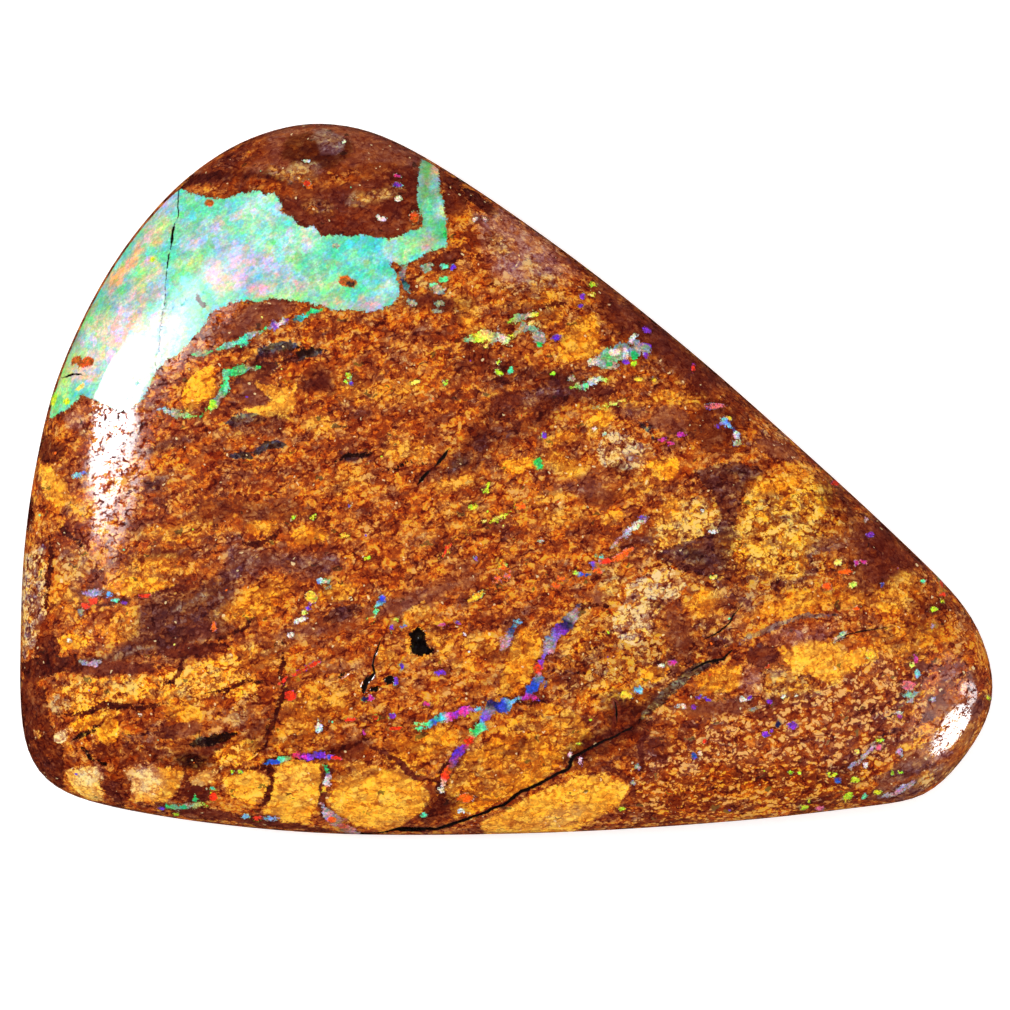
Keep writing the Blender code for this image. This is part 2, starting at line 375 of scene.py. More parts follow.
# Areas, blocks and patches of the ground, each over the ones before it
GROUND_MARKS: list[Union[Block, Patch, Streak]] = [
    # Broad areas
    Block(G.RUST, 14, ((560, 250), (640, 309), (760, 412), (740, 440), (690, 400), (600, 330))),
    Block(G.OXBLOOD, 10, ((590, 272), (650, 318), (730, 385), (700, 398), (640, 350), (600, 320))),
    Block(G.GRAVEL, 16, ((655, 505), (760, 470), (860, 520), (800, 600), (700, 600), (650, 560))),
    Block(G.GRAVEL, 14, ((570, 615), (690, 610), (735, 640), (650, 690), (600, 702), (552, 690))),
    Block(G.FLAKES, 14, ((640, 712), (760, 695), (860, 665), (900, 650), (935, 700), (925, 750))),
    Block(G.FLAKES, 14, ((640, 705), (930, 700), (900, 762), (860, 765), (720, 770), (640, 790))),
    Block(G.GRAINS, 12, ((650, 775), (740, 760), (880, 765), (900, 800), (700, 825), (635, 825))),
    Block(G.OXBLOOD, 12, ((845, 515), (885, 515), (930, 565), (900, 580), (862, 592), (848, 560))),
    Block(G.ORANGE, 14, ((890, 600), (950, 590), (985, 650), (985, 690), (930, 670), (880, 640))),
    Block(G.CLAY, 8, ((930, 690), (985, 700), (960, 770), (900, 800), (860, 800), (910, 740))),
    # Brown island at the top, between the arms of the seam
    Block(
        G.CLAY,
        5,
        ((178, 190), (215, 155), (260, 128), (321, 112), (380, 125), (424, 160), (424, 235))
        + ((380, 243), (335, 241), (300, 230), (275, 198), (225, 204)),
    ),
    Block(
        G.OXBLOOD,
        6,
        ((262, 184), (330, 182), (385, 172), (420, 176), (422, 228), (400, 242), (330, 241))
        + ((300, 230), (285, 212)),
    ),
    Patch(235, 158, 26, 12, 30, G.RUST),
    Patch(318, 152, 26, 14, 0, G.UMBER),
    Patch(245, 184, 48, 6, 0, G.MAROON),
    Patch(225, 195, 24, 5, -2, G.ORANGE, 0.3),
    Patch(262, 191, 24, 4, -6, G.RUST, 0.3),
    Patch(340, 180, 26, 4, 12, G.RUST, 0.4),
    Patch(282, 178, 13, 5, 0, G.TAN, 0.5),
    Patch(308, 166, 13, 5, 0, G.TAN, 0.5),
    Patch(300, 176, 10, 5, 0, G.GRAVEL, 0.4),
    Patch(332, 146, 7, 6, 30, G.LILAC, 0.3),
    Patch(325, 137, 4, 3, 0, G.LILAC, 0.3),
    Patch(309, 187, 5, 3, 0, G.EMBER, 0.3),
    Patch(371, 198, 18, 5, 4, G.TAN, 0.5),
    Patch(391, 191, 9, 3, 20, G.TAN, 0.5),
    Patch(318, 207, 12, 6, -10, G.GRAVEL, 0.5),
    Patch(415, 219, 6, 12, 0, G.RUST, 0.4),
    # Right of the seam
    Patch(450, 178, 12, 16, 0, G.RUST),
    Patch(455, 206, 12, 14, 0, G.OXBLOOD),
    Patch(480, 203, 24, 6, -33, G.MAROON),
    Patch(462, 245, 14, 30, 0, G.ORANGE, 0.5, 0.7),
    Block(G.ROSE, 9, ((475, 222), (505, 215), (545, 243), (575, 275), (550, 285), (500, 292))),
    Patch(497, 245, 14, 9, -20, G.TAN, 0.6, 0.8),
    Patch(532, 262, 10, 5, 0, G.TAN, 0.6, 0.8),
    Patch(500, 287, 20, 6, -10, G.GRAVEL, 0.5),
    Patch(538, 283, 18, 9, 10, G.KHAKI, 0.6, 0.7),
    Patch(532, 300, 30, 7, 8, G.OCHRE, 0.6, 0.8),
    Block(G.OCHRE, 3, ((453, 300), (463, 292), (477, 305), (482, 325), (476, 343), (458, 330))),
    Patch(547, 319, 15, 9, 15, G.OCHRE, 0.3),
    Patch(553, 306, 12, 4, 0, G.BROWN, 0.4),
    Block(G.AMBER, 3, ((560, 332), (580, 318), (594, 310), (600, 345), (592, 358), (556, 366))),
    Patch(575, 368, 16, 5, -10, G.ORANGE, 0.4),
    Patch(470, 362, 22, 12, 20, G.RUST, 0.5),
    Patch(425, 285, 14, 4, -45, G.TAN, 0.3),
    Patch(448, 262, 20, 8, 30, G.OXBLOOD, 0.4),
    Patch(432, 306, 30, 8, 0, G.OXBLOOD, 0.5),
    # Dark plum band across the middle, and its black tail
    Block(
        G.DUSK,
        13,
        ((500, 372), (560, 370), (604, 398), (560, 414), (515, 440), (480, 468), (452, 482))
        + ((434, 476), (452, 452), (484, 425)),
    ),
    Patch(520, 386, 26, 6, 12, G.ORANGE, 0.5),
    Patch(548, 396, 26, 5, 4, G.MAUVE, 0.5, 0.8),
    Patch(478, 446, 24, 5, 38, G.MAROON, 0.5, 0.8),
    Patch(512, 420, 26, 5, 32, G.RUST, 0.5, 0.8),
    Patch(462, 466, 12, 6, 38, G.SLATE, 0.5, 0.7),
    Patch(505, 402, 20, 8, 20, G.OXBLOOD, 0.4),
    Patch(590, 392, 20, 6, 0, G.OXBLOOD, 0.4),
    # Below the seam
    Patch(268, 313, 34, 9, 12, G.CLAY, 0.4),
    Patch(240, 330, 36, 8, 14, G.CLAY, 0.4),
    Streak(G.SLATE, 6, ((250, 362), (272, 353), (302, 345))),
    Streak(G.SLATE, 3.4, ((284, 364), (306, 357), (328, 352))),
    Streak(G.INK, 1.4, ((262, 367), (288, 356), (320, 349))),
    Patch(262, 372, 26, 8, 22, G.DUSK, 0.4),
    Streak(G.SLATE, 2.6, ((322, 337), (336, 331), (348, 325))),
    Patch(370, 332, 40, 12, 8, G.ORANGE, 0.5),
    Patch(262, 395, 18, 22, 0, G.CLAY, 0.5),
    Patch(318, 382, 18, 10, 0, G.OXBLOOD, 0.5),
    Patch(253, 356, 7, 5, 0, G.OCHRE, 0.2),
    Block(
        G.YELLOW,
        2,
        ((212, 366), (218, 369), (219, 398), (205, 402), (190, 413), (184, 402), (190, 386))
        + ((200, 374),),
    ),
    Block(
        G.GOLD,
        2,
        ((254, 380), (268, 384), (284, 387), (302, 383), (297, 396), (300, 403), (291, 420))
        + ((276, 418), (247, 411), (270, 408), (274, 400), (262, 390)),
    ),
    Patch(165, 378, 15, 9, 10, G.ORANGE, 0.4),
    Patch(78, 420, 12, 10, 0, G.ROSE, 0.5),
    Patch(52, 450, 16, 14, 0, G.BROWN, 0.4),
    Patch(75, 440, 18, 12, 0, G.ORANGE, 0.5),
    Block(G.GOLD, 3, ((38, 466), (50, 464), (72, 484), (74, 500), (56, 508), (44, 488))),
    Patch(88, 508, 18, 9, -20, G.OCHRE, 0.4),
    Patch(30, 515, 6, 18, 0, G.MAROON, 0.4),
    Patch(112, 530, 18, 9, 0, G.OCHRE, 0.3),
    Patch(168, 444, 22, 6, 10, G.PLUM, 0.5),
    Patch(162, 482, 12, 8, 0, G.PLUM, 0.5),
    Streak(G.SLATE, 5, ((228, 424), (246, 419), (268, 419))),
    Streak(G.SLATE, 4.4, ((256, 453), (274, 446), (290, 445))),
    Streak(G.SLATE, 4, ((232, 458), (246, 453), (260, 457))),
    Patch(262, 426, 34, 9, 8, G.PLUM, 0.5, 0.7),
    Patch(322, 425, 13, 10, 0, G.OCHRE, 0.4),
    Patch(352, 392, 16, 10, 20, G.OCHRE, 0.5),
    Patch(400, 393, 22, 10, 5, G.OCHRE, 0.6, 0.8),
    Block(G.OCHRE, 3, ((379, 450), (392, 441), (420, 441), (436, 448), (428, 458), (404, 463))),
    Patch(350, 482, 18, 13, 20, G.OCHRE, 0.5, 0.8),
    Patch(456, 485, 26, 7, 8, G.OCHRE, 0.4),
    Patch(460, 520, 24, 12, 20, G.OCHRE, 0.6, 0.7),
    Patch(268, 510, 50, 9, 4, G.OXBLOOD, 0.6, 0.7),
    Patch(215, 512, 20, 10, 10, G.OXBLOOD, 0.5, 0.8),
    Patch(175, 530, 32, 7, 8, G.OCHRE, 0.5),
    Patch(265, 527, 15, 8, 0, G.AMBER, 0.3),
    Patch(312, 535, 18, 10, 10, G.AMBER, 0.4),
    Patch(168, 552, 24, 6, 12, G.OXBLOOD, 0.5),
    Patch(150, 570, 40, 12, 8, G.OCHRE, 0.5),
    # Left edge and the plum bands
    Block(G.LINEN, 5, ((22, 556), (46, 544), (50, 580), (48, 612), (38, 642), (26, 658), (18, 620))),
    Patch(75, 565, 18, 18, 0, G.TAN, 0.5, 0.8),
    Patch(70, 602, 16, 14, 0, G.OCHRE, 0.5),
    Patch(78, 641, 16, 8, 0, G.YELLOW, 0.4),
    Patch(50, 645, 14, 16, 0, G.RUST, 0.4),
    Patch(122, 622, 24, 20, 0, G.OCHRE, 0.4),
    Patch(140, 586, 36, 9, 4, G.YELLOW, 0.4),
    Block(
        G.PLUM,
        9,
        ((75, 656), (102, 648), (130, 642), (142, 628), (141, 612), (152, 598), (178, 588))
        + ((226, 572), (258, 560), (238, 590), (236, 606), (225, 622), (204, 640), (214, 650))
        + ((202, 657), (150, 656), (92, 669), (70, 668)),
    ),
    Patch(215, 628, 22, 9, 0, G.OXBLOOD, 0.5),
    Patch(170, 612, 26, 5, 25, G.MAROON, 0.5, 0.7),
    Patch(200, 598, 24, 4, 28, G.LILAC, 0.5, 0.6),
    Patch(112, 655, 30, 4, 4, G.MAROON, 0.5, 0.8),
    Patch(150, 641, 26, 4, 12, G.MAROON, 0.5, 0.7),
    Patch(140, 650, 22, 3, 5, G.LILAC, 0.5, 0.6),
    Patch(232, 584, 20, 4, 30, G.MAROON, 0.5, 0.7),
    Patch(195, 648, 34, 6, 6, G.OXBLOOD, 0.4),
    Patch(118, 667, 46, 7, 3, G.OXBLOOD, 0.4),
    Block(G.MAROON, 5, ((20, 662), (50, 656), (78, 654), (80, 668), (50, 676), (28, 690))),
    Block(
        G.MAUVE,
        9,
        ((232, 546), (262, 549), (300, 551), (336, 555), (340, 566), (318, 576), (286, 566))
        + ((262, 568), (240, 586), (228, 575)),
    ),
    Block(
        G.CLAY,
        9,
        ((240, 640), (272, 632), (302, 628), (342, 617), (382, 603), (402, 588), (440, 577))
        + ((476, 572), (476, 586), (430, 601), (390, 614), (358, 627), (300, 640)),
    ),
    Patch(345, 612, 22, 8, 15, G.PLUM, 0.4),
    Patch(262, 598, 34, 14, 24, G.AMBER, 0.5),
    Patch(340, 590, 22, 8, 14, G.AMBER, 0.4),
    Patch(262, 655, 30, 12, 5, G.OCHRE, 0.5, 0.8),
    # Gold ground at the lower left
    Block(
        G.GOLDEN_GRAVEL,
        5,
        ((58, 688), (82, 678), (150, 674), (206, 662), (256, 644), (262, 700), (230, 690))
        + ((198, 701), (146, 696), (122, 712), (88, 716), (60, 706)),
    ),
    Block(G.BROWN, 6, ((20, 680), (50, 688), (52, 722), (66, 746), (66, 790), (40, 780), (22, 740))),
    Patch(187, 710, 20, 8, -5, G.AMBER, 0.3),
    Patch(240, 712, 14, 10, 0, G.TAN, 0.5),
    Patch(182, 728, 26, 8, 8, G.CLAY, 0.4),
    Patch(122, 744, 26, 10, 0, G.RUST, 0.4),
    Patch(160, 752, 18, 7, -42, G.RUST, 0.4),
    Patch(90, 722, 22, 6, 12, G.YELLOW, 0.4),
    Patch(112, 728, 10, 14, -20, G.YELLOW, 0.4),
    Patch(64, 735, 7, 6, 0, G.CREAM, 0.3),
    Patch(40, 734, 6, 4, 0, G.TAN, 0.3),
    Patch(60, 706, 7, 8, -20, G.TAN, 0.4),
    Patch(205, 747, 34, 16, 14, G.OXBLOOD, 0.5, 0.8),
    Streak(G.INK, 5, ((192, 743), (212, 738), (240, 730))),
    Patch(194, 757, 18, 7, 6, G.INK, 0.5, 0.85),
    Streak(G.DUSK, 1.8, ((140, 734), (156, 730), (176, 733))),
    Patch(240, 750, 24, 12, 20, G.GOLDEN_GRAVEL, 0.4),
    # Cream and yellow blocks along the bottom edge
    Block(G.STRAW, 2, ((68, 768), (92, 764), (106, 772), (105, 799), (86, 799), (70, 782))),
    Patch(96, 775, 12, 8, 0, G.CREAM, 0.7, 0.8),
    Block(G.GOLD, 2, ((133, 774), (160, 765), (187, 768), (182, 782), (166, 801), (138, 801))),
    Patch(146, 780, 15, 12, 0, G.CREAM, 0.7, 0.7),
    Patch(122, 786, 12, 16, 0, G.RUST, 0.3),
    Patch(205, 776, 14, 7, 10, G.STRAW, 0.4),
    Patch(200, 792, 16, 10, 0, G.OXBLOOD, 0.4),
    Patch(200, 812, 34, 7, -6, G.ORANGE, 0.4),
    Block(G.GOLD, 3, ((224, 778), (250, 768), (272, 775), (270, 792), (254, 804), (234, 796))),
    Block(
        G.GOLD,
        3,
        ((278, 764), (300, 757), (322, 762), (325, 780), (318, 800), (310, 822), (288, 822))
        + ((266, 811), (274, 790)),
    ),
    Patch(294, 780, 16, 14, 0, G.STRAW, 0.6, 0.35),
    Block(
        G.GOLD,
        3,
        ((330, 798), (342, 776), (370, 764), (402, 768), (418, 778), (432, 792), (424, 808))
        + ((408, 820), (386, 831), (356, 824), (336, 812)),
    ),
    Patch(350, 770, 20, 8, 20, G.OCHRE, 0.4),
    Patch(405, 762, 22, 8, -20, G.OCHRE, 0.4),
    Block(
        G.AMBER,
        4,
        ((450, 778), (468, 752), (496, 733), (524, 706), (552, 700), (578, 714), (592, 734))
        + ((562, 760), (540, 780), (510, 795), (480, 808), (456, 816), (445, 800)),
    ),
    Patch(484, 778, 30, 16, 25, G.OCHRE, 0.5),
    Patch(520, 765, 20, 12, 20, G.OCHRE, 0.5, 0.7),
    Patch(560, 735, 26, 12, -20, G.OCHRE, 0.6, 0.7),
    Patch(518, 744, 24, 5, 22, G.RUST, 0.5, 0.7),
    Patch(530, 722, 24, 10, 20, G.GRAVEL, 0.6, 0.6),
    Block(
        G.GOLD,
        4,
        ((478, 820), (520, 800), (546, 784), (582, 773), (606, 772), (628, 786), (620, 802))
        + ((600, 817), (574, 829), (540, 834), (486, 834)),
    ),
    Patch(562, 816, 24, 9, 10, G.STRAW, 0.6, 0.8),
    Patch(432, 822, 30, 8, 8, G.RUST, 0.4),
    Patch(440, 806, 18, 12, 10, G.BROWN, 0.5),
    # Blocks above them
    Block(G.AMBER, 3, ((520, 624), (536, 626), (541, 640), (530, 680), (508, 697), (494, 700), (506, 660))),
    Block(G.OCHRE, 3, ((405, 612), (426, 600), (444, 622), (458, 640), (448, 656), (414, 660), (406, 640))),
    Patch(478, 640, 18, 12, 0, G.OCHRE, 0.4),
    Patch(466, 664, 13, 9, 0, G.OCHRE, 0.4),
    Patch(492, 652, 14, 6, 0, G.OXBLOOD, 0.6, 0.7),
    Patch(486, 682, 18, 6, 30, G.OXBLOOD, 0.6, 0.7),
    Patch(388, 656, 12, 9, 0, G.OCHRE, 0.4),
    Patch(320, 700, 34, 20, 10, G.AMBER, 0.6, 0.7),
    Patch(300, 735, 22, 10, 10, G.OCHRE, 0.5),
    Patch(425, 742, 34, 14, 15, G.AMBER, 0.5),
    Patch(385, 770, 10, 5, 0, G.RUST, 0.5, 0.5),
    Patch(345, 745, 24, 9, 15, G.OXBLOOD, 0.5),
    Patch(262, 735, 16, 14, 0, G.OXBLOOD, 0.5, 0.7),
    # Middle right
    Patch(600, 420, 18, 8, 35, G.YELLOW, 0.3),
    Patch(632, 408, 14, 6, 0, G.OCHRE, 0.3),
    Patch(670, 400, 26, 5, 12, G.OCHRE, 0.5),
    Patch(628, 414, 20, 9, 0, G.MAUVE, 0.5, 0.8),
    Patch(562, 438, 20, 7, 0, G.OCHRE, 0.4),
    Patch(590, 436, 10, 4, 0, G.OCHRE, 0.4),
    Patch(565, 465, 20, 9, -20, G.YELLOW, 0.5),
    Patch(520, 466, 20, 8, 5, G.YELLOW, 0.4),
    Patch(552, 494, 18, 6, 15, G.OCHRE, 0.5),
    Patch(564, 514, 20, 9, 0, G.OCHRE, 0.5),
    Patch(612, 518, 14, 6, 20, G.OCHRE, 0.4),
    Patch(575, 486, 20, 7, -10, G.MAUVE, 0.6, 0.7),
    Patch(600, 497, 20, 7, 0, G.OXBLOOD, 0.5),
    Patch(598, 480, 20, 14, 0, G.CLAY, 0.5, 0.7),
    Block(G.LINEN, 7, ((598, 447), (612, 432), (650, 446), (656, 458), (640, 472), (600, 466))),
    Patch(622, 474, 16, 6, -10, G.DUSK, 0.6, 0.7),
    Patch(663, 470, 15, 12, 10, G.YELLOW, 0.4),
    Patch(640, 490, 18, 7, 20, G.OCHRE, 0.5, 0.7),
    Patch(668, 420, 20, 14, 0, G.CLAY, 0.4),
    Patch(645, 431, 8, 2.4, -45, G.SLATE, 0.4),
    Patch(705, 430, 26, 24, 0, G.OXBLOOD, 0.6, 0.8),
    Patch(735, 447, 16, 8, 0, G.RUST, 0.4),
    Patch(785, 430, 12, 9, -30, G.TAN, 0.5, 0.7),
    Patch(775, 450, 24, 9, -20, G.CLAY, 0.4),
    Block(
        G.PLUM,
        7,
        ((690, 470), (740, 462), (765, 472), (744, 486), (732, 520), (736, 545), (716, 580))
        + ((668, 565), (650, 556), (684, 536), (722, 520), (712, 500)),
    ),
    Patch(694, 556, 16, 8, -30, G.SLATE, 0.6, 0.6),
    Patch(735, 474, 14, 5, 0, G.SLATE, 0.6, 0.5),
    Block(G.KHAKI, 6, ((640, 540), (662, 506), (690, 498), (722, 516), (712, 532), (660, 550))),
    Patch(668, 512, 14, 9, 35, G.YELLOW, 0.5),
    Patch(724, 508, 10, 10, 0, G.DUSK, 0.5, 0.7),
    Block(
        G.MUSTARD,
        7,
        ((738, 500), (770, 478), (800, 462), (830, 480), (832, 505), (802, 530), (800, 575))
        + ((770, 572), (752, 560), (732, 548), (740, 520)),
    ),
    Patch(795, 478, 32, 11, 12, G.OCHRE, 0.5),
    Patch(820, 472, 16, 10, -40, G.ORANGE, 0.5),
    Patch(770, 487, 22, 8, 5, G.YELLOW, 0.5),
    Patch(770, 540, 40, 26, 20, G.MUSTARD, 0.6, 0.7),
    Patch(838, 500, 20, 12, -30, G.BROWN, 0.6, 0.7),
    Patch(830, 545, 24, 14, 0, G.CLAY, 0.6, 0.6),
    Patch(776, 584, 9, 6, 30, G.DUSK, 0.4),
    Patch(800, 604, 60, 10, 6, G.AMBER, 0.5),
    Patch(896, 592, 22, 14, 10, G.OCHRE, 0.5),
    Patch(884, 606, 12, 5, 0, G.YELLOW, 0.4),
    Patch(703, 603, 14, 13, 0, G.YELLOW, 0.5),
    Patch(668, 620, 16, 30, 20, G.CLAY, 0.5, 0.7),
    Patch(735, 600, 30, 14, 30, G.MAUVE, 0.6, 0.5),
    Block(
        G.LINEN,
        6,
        ((642, 573), (664, 567), (684, 580), (678, 594), (656, 612), (650, 632), (632, 644))
        + ((612, 632), (612, 612), (626, 600), (624, 584)),
    ),
    Patch(610, 585, 12, 16, -30, G.KHAKI, 0.5),
    Patch(596, 594, 10, 8, 0, G.CLAY, 0.5),
    Patch(652, 604, 7, 5, 0, G.DUSK, 0.5, 0.8),
    Patch(575, 640, 12, 24, -10, G.GOLDEN_GRAVEL, 0.5, 0.6),
    Patch(600, 690, 24, 12, 0, G.GOLDEN_GRAVEL, 0.6, 0.6),
    # Right end
    Block(
        G.GOLD,
        4,
        ((778, 652), (800, 636), (822, 640), (846, 650), (874, 644), (876, 656), (850, 668))
        + ((830, 682), (812, 676), (790, 668)),
    ),
    Patch(786, 680, 24, 12, 0, G.KHAKI, 0.5),
    Block(G.AMBER, 3, ((692, 676), (720, 660), (738, 664), (741, 680), (726, 691), (700, 690))),
    Patch(652, 672, 16, 8, 20, G.AMBER, 0.4),
    Patch(716, 703, 36, 9, 2, G.CLAY, 0.5),
    Patch(630, 692, 18, 6, 0, G.OCHRE, 0.4),
    Patch(760, 655, 16, 12, 0, G.OXBLOOD, 0.4),
    Patch(750, 682, 10, 12, 0, G.ROSE, 0.5),
    Patch(800, 632, 30, 8, 12, G.ROSE, 0.5, 0.7),
    Patch(930, 615, 24, 22, 0, G.RUST, 0.5),
    Patch(900, 640, 36, 18, 0, G.AMBER, 0.6, 0.6),
    Patch(965, 640, 14, 26, 0, G.ORANGE, 0.5),
    Patch(940, 735, 26, 26, 30, G.AMBER, 0.6, 0.5),
    Patch(905, 712, 16, 4, 20, G.OCHRE, 0.3),
    Patch(925, 725, 18, 4, 25, G.AMBER, 0.3),
    Patch(912, 742, 22, 4, 22, G.OCHRE, 0.3),
    Patch(940, 754, 14, 4, 30, G.ROSE, 0.3),
    Patch(896, 728, 16, 3, 20, G.MAUVE, 0.3),
    Patch(950, 772, 12, 4, 40, G.TAN, 0.3),
    Patch(928, 765, 16, 3, 25, G.ORANGE, 0.3),
    Patch(893, 771, 18, 4, 15, G.MAUVE, 0.3),
    Patch(958, 690, 10, 5, 40, G.ORANGE, 0.3),
    Patch(925, 692, 12, 5, 0, G.OCHRE, 0.3),
    Patch(945, 672, 12, 5, 30, G.ROSE, 0.3),
    Patch(935, 648, 14, 6, 20, G.ORANGE, 0.3),
    Patch(912, 665, 14, 6, 0, G.CLAY, 0.3),
    Patch(905, 790, 24, 9, 15, G.MAUVE, 0.5),
    Patch(930, 775, 18, 8, 30, G.TAN, 0.5),
    # Dark smear along the long crack
    Block(
        G.MAROON,
        10,
        ((556, 754), (600, 722), (612, 694), (640, 700), (664, 688), (650, 720), (604, 752))
        + ((576, 764),),
    ),
    Patch(660, 735, 26, 18, 30, G.RUST, 0.6, 0.7),
    Patch(630, 745, 26, 12, 30, G.RUST, 0.6, 0.7),
    # Open pits
    Block(G.INK, 2, ((410, 632), (420, 625), (427, 634), (431, 646), (440, 648), (430, 654), (413, 652))),
    Patch(416, 634, 5, 5, 0, G.PIT, 0.2),
    Patch(423, 647, 8, 4, 14, G.PIT, 0.2),
    Patch(391, 678, 6, 4.6, 30, G.PIT, 0.2),
    Patch(366, 682, 3, 7, -20, G.PIT, 0.2),
    Patch(344, 673, 9, 2.2, 20, G.PIT, 0.2),
    Patch(377, 686, 5, 2, 20, G.PIT, 0.2),
    Patch(108, 782, 5, 6, 0, G.INK, 0.3),
    Patch(366, 415, 9, 3, 10, G.INK, 0.4),
    Patch(356, 458, 14, 4, 12, G.SLATE, 0.5),
    # Seams of dark red-brown between the blocks
    Streak(G.MAROON, 2.6, ((285, 640), (284, 672), (289, 690), (276, 714), (268, 744), (254, 752))),
    Streak(G.MAROON, 2.6, ((236, 771), (262, 765), (276, 756), (320, 754), (352, 744), (382, 728))),
    Streak(G.MAROON, 3, ((270, 756), (274, 776), (270, 796), (262, 806))),
    Streak(G.OXBLOOD, 4, ((326, 755), (330, 770), (325, 786), (322, 802), (328, 816), (346, 826))),
    Streak(G.OXBLOOD, 3, ((372, 744), (398, 756), (414, 774), (436, 778))),
    Streak(G.MAROON, 4, ((456, 752), (446, 766), (441, 780), (441, 800), (428, 816))),
    Streak(G.OXBLOOD, 2.4, ((104, 606), (128, 601), (150, 597), (166, 590), (206, 583))),
    Streak(G.MAROON, 1.8, ((206, 638), (228, 634), (246, 628), (254, 618))),
    Streak(G.MAROON, 1.6, ((164, 680), (175, 680), (183, 668), (187, 656))),
    Streak(G.MAROON, 1.6, ((198, 697), (214, 690), (232, 688), (248, 680), (268, 678))),
    Streak(G.OXBLOOD, 3.6, ((140, 803), (180, 809), (234, 816), (300, 826), (340, 832))),
    Streak(G.OXBLOOD, 3, ((108, 772), (112, 790), (122, 806))),
    Streak(G.OXBLOOD, 3, ((186, 768), (190, 784), (176, 800))),
    Streak(G.INK, 2.4, ((78, 738), (90, 730), (108, 722))),
    Streak(G.INK, 2.4, ((84, 744), (94, 756), (112, 764))),
    Streak(G.MAROON, 2.2, ((52, 534), (54, 560), (51, 590), (48, 610))),
    Streak(G.MAROON, 2.4, ((60, 522), (70, 534), (88, 546))),
    Streak(G.MAROON, 2.6, ((60, 712), (86, 712), (102, 704), (124, 704), (140, 706), (176, 700))),
    Streak(G.DUSK, 1.8, ((218, 516), (221, 540), (216, 556))),
    Streak(G.MAROON, 2, ((240, 541), (262, 545), (276, 536), (290, 528))),
    Streak(G.INK, 1.8, ((336, 462), (350, 456), (378, 452))),
    Streak(G.INK, 1.5, ((376, 474), (394, 468), (408, 463), (428, 464))),
    Streak(G.MAROON, 2, ((500, 692), (520, 700), (544, 700))),
    Streak(G.OXBLOOD, 4, ((610, 690), (616, 712), (612, 726))),
    Streak(G.OXBLOOD, 3, ((592, 762), (614, 768), (632, 782), (634, 806))),
    Streak(G.OXBLOOD, 5, ((640, 775), (640, 740), (650, 715))),
    Streak(G.LILAC, 2.6, ((738, 642), (756, 632), (776, 623), (798, 615), (840, 612))),
    Streak(G.PLUM, 2.4, ((722, 620), (732, 606), (744, 596))),
    Streak(G.INK, 4.8, ((640, 716), (658, 697), (674, 682), (692, 669), (712, 659))),
    Streak(G.SHALE, 3.2, ((644, 709), (658, 694), (674, 680), (692, 667), (700, 662))),
    Streak(G.MAROON, 1.6, ((575, 604), (596, 604), (612, 606))),
]


class Play(Enum):
    """Colours that the opal shows, as hex codes."""

    TEAL = "6CDCC4"
    AQUA = "AAF3E6"
    CYAN = "48DCD6"
    AZURE = "A9C9E6"
    PERIWINKLE = "98A8E2"
    LAVENDER = "BDBEE6"
    PINK = "EBB8CC"
    PEARL = "E8DCE2"
    PISTACHIO = "B4F096"
    SAGE = "8CCFBE"
    BEIGE = "CFC4A2"
    PEACH = "F0BE74"
    HEATHER = "AFA4C6"
    SPRING = "8AE45C"
    LEAF = "5CCB7C"
    LAGOON = "4C9A9A"
    LIME = "B8EC30"
    LEMON = "F4EE6A"
    MINT = "5FE8A8"
    GREEN = "2FC46A"
    SKY = "6FB9E8"
    BLUE = "2C50D0"
    NAVY = "1A1E52"
    VIOLET = "6A34CC"
    MAGENTA = "C83AA0"
    ROSE = "E8708A"
    RED = "DE3A1C"
    EMBER = "F4681C"
    GOLD = "F6CC3C"
    MIST = "DCE6E2"
    SMOKE = "8C9C90"
    STEEL = "76829A"
    HAZE = "AC9CB0"
    RUST = "A85A22"
    MOSS = "6E9466"
    UMBER = "3C2A26"


P = Play

# Outline of the large opal seam, clockwise from the upper left, past the stone's edge
SEAM_PX = (
    ((168, 172), (182, 190), (190, 194), (200, 197), (212, 200), (224, 202), (235, 199))
    + ((240, 197), (248, 195), (262, 193), (268, 198), (275, 196), (280, 200), (284, 207))
    + ((281, 213), (287, 217), (295, 219), (299, 227), (305, 231), (315, 229), (321, 234))
    + ((323, 240), (335, 239), (353, 240), (362, 237), (370, 239), (390, 242), (400, 239))
    + ((408, 235), (416, 233), (424, 229), (422, 218), (418, 205), (419, 175), (421, 160))
    + ((419, 140), (442, 140), (438, 165), (439, 180), (441, 197), (444, 203), (447, 225))
    + ((448, 248), (441, 250), (434, 253), (425, 257), (418, 262), (408, 266), (402, 268))
    + ((396, 263), (391, 268), (396, 276), (400, 285), (400, 300), (392, 307), (380, 312))
    + ((370, 315), (350, 311), (340, 313), (322, 307), (312, 305), (300, 303), (290, 303))
    + ((275, 300), (262, 304), (250, 303), (240, 303), (225, 308), (215, 313), (208, 325))
    + ((198, 338), (185, 352), (170, 362), (160, 372), (148, 398), (126, 412), (106, 404))
    + ((84, 396), (70, 410), (48, 420), (20, 410), (50, 300), (110, 200))
)


@dataclass(frozen=True)
class Cloud(Ellipse):
    """A very soft ellipse of one opal colour inside the seam."""

    colour: Play
    strength: float = 0.85
    softness: float = 0.7

    def cover(self, points_px: np.ndarray) -> np.ndarray:
        """Share from 0 to 1 that this cloud covers at each point."""
        return self.share(points_px, self.softness) * self.strength


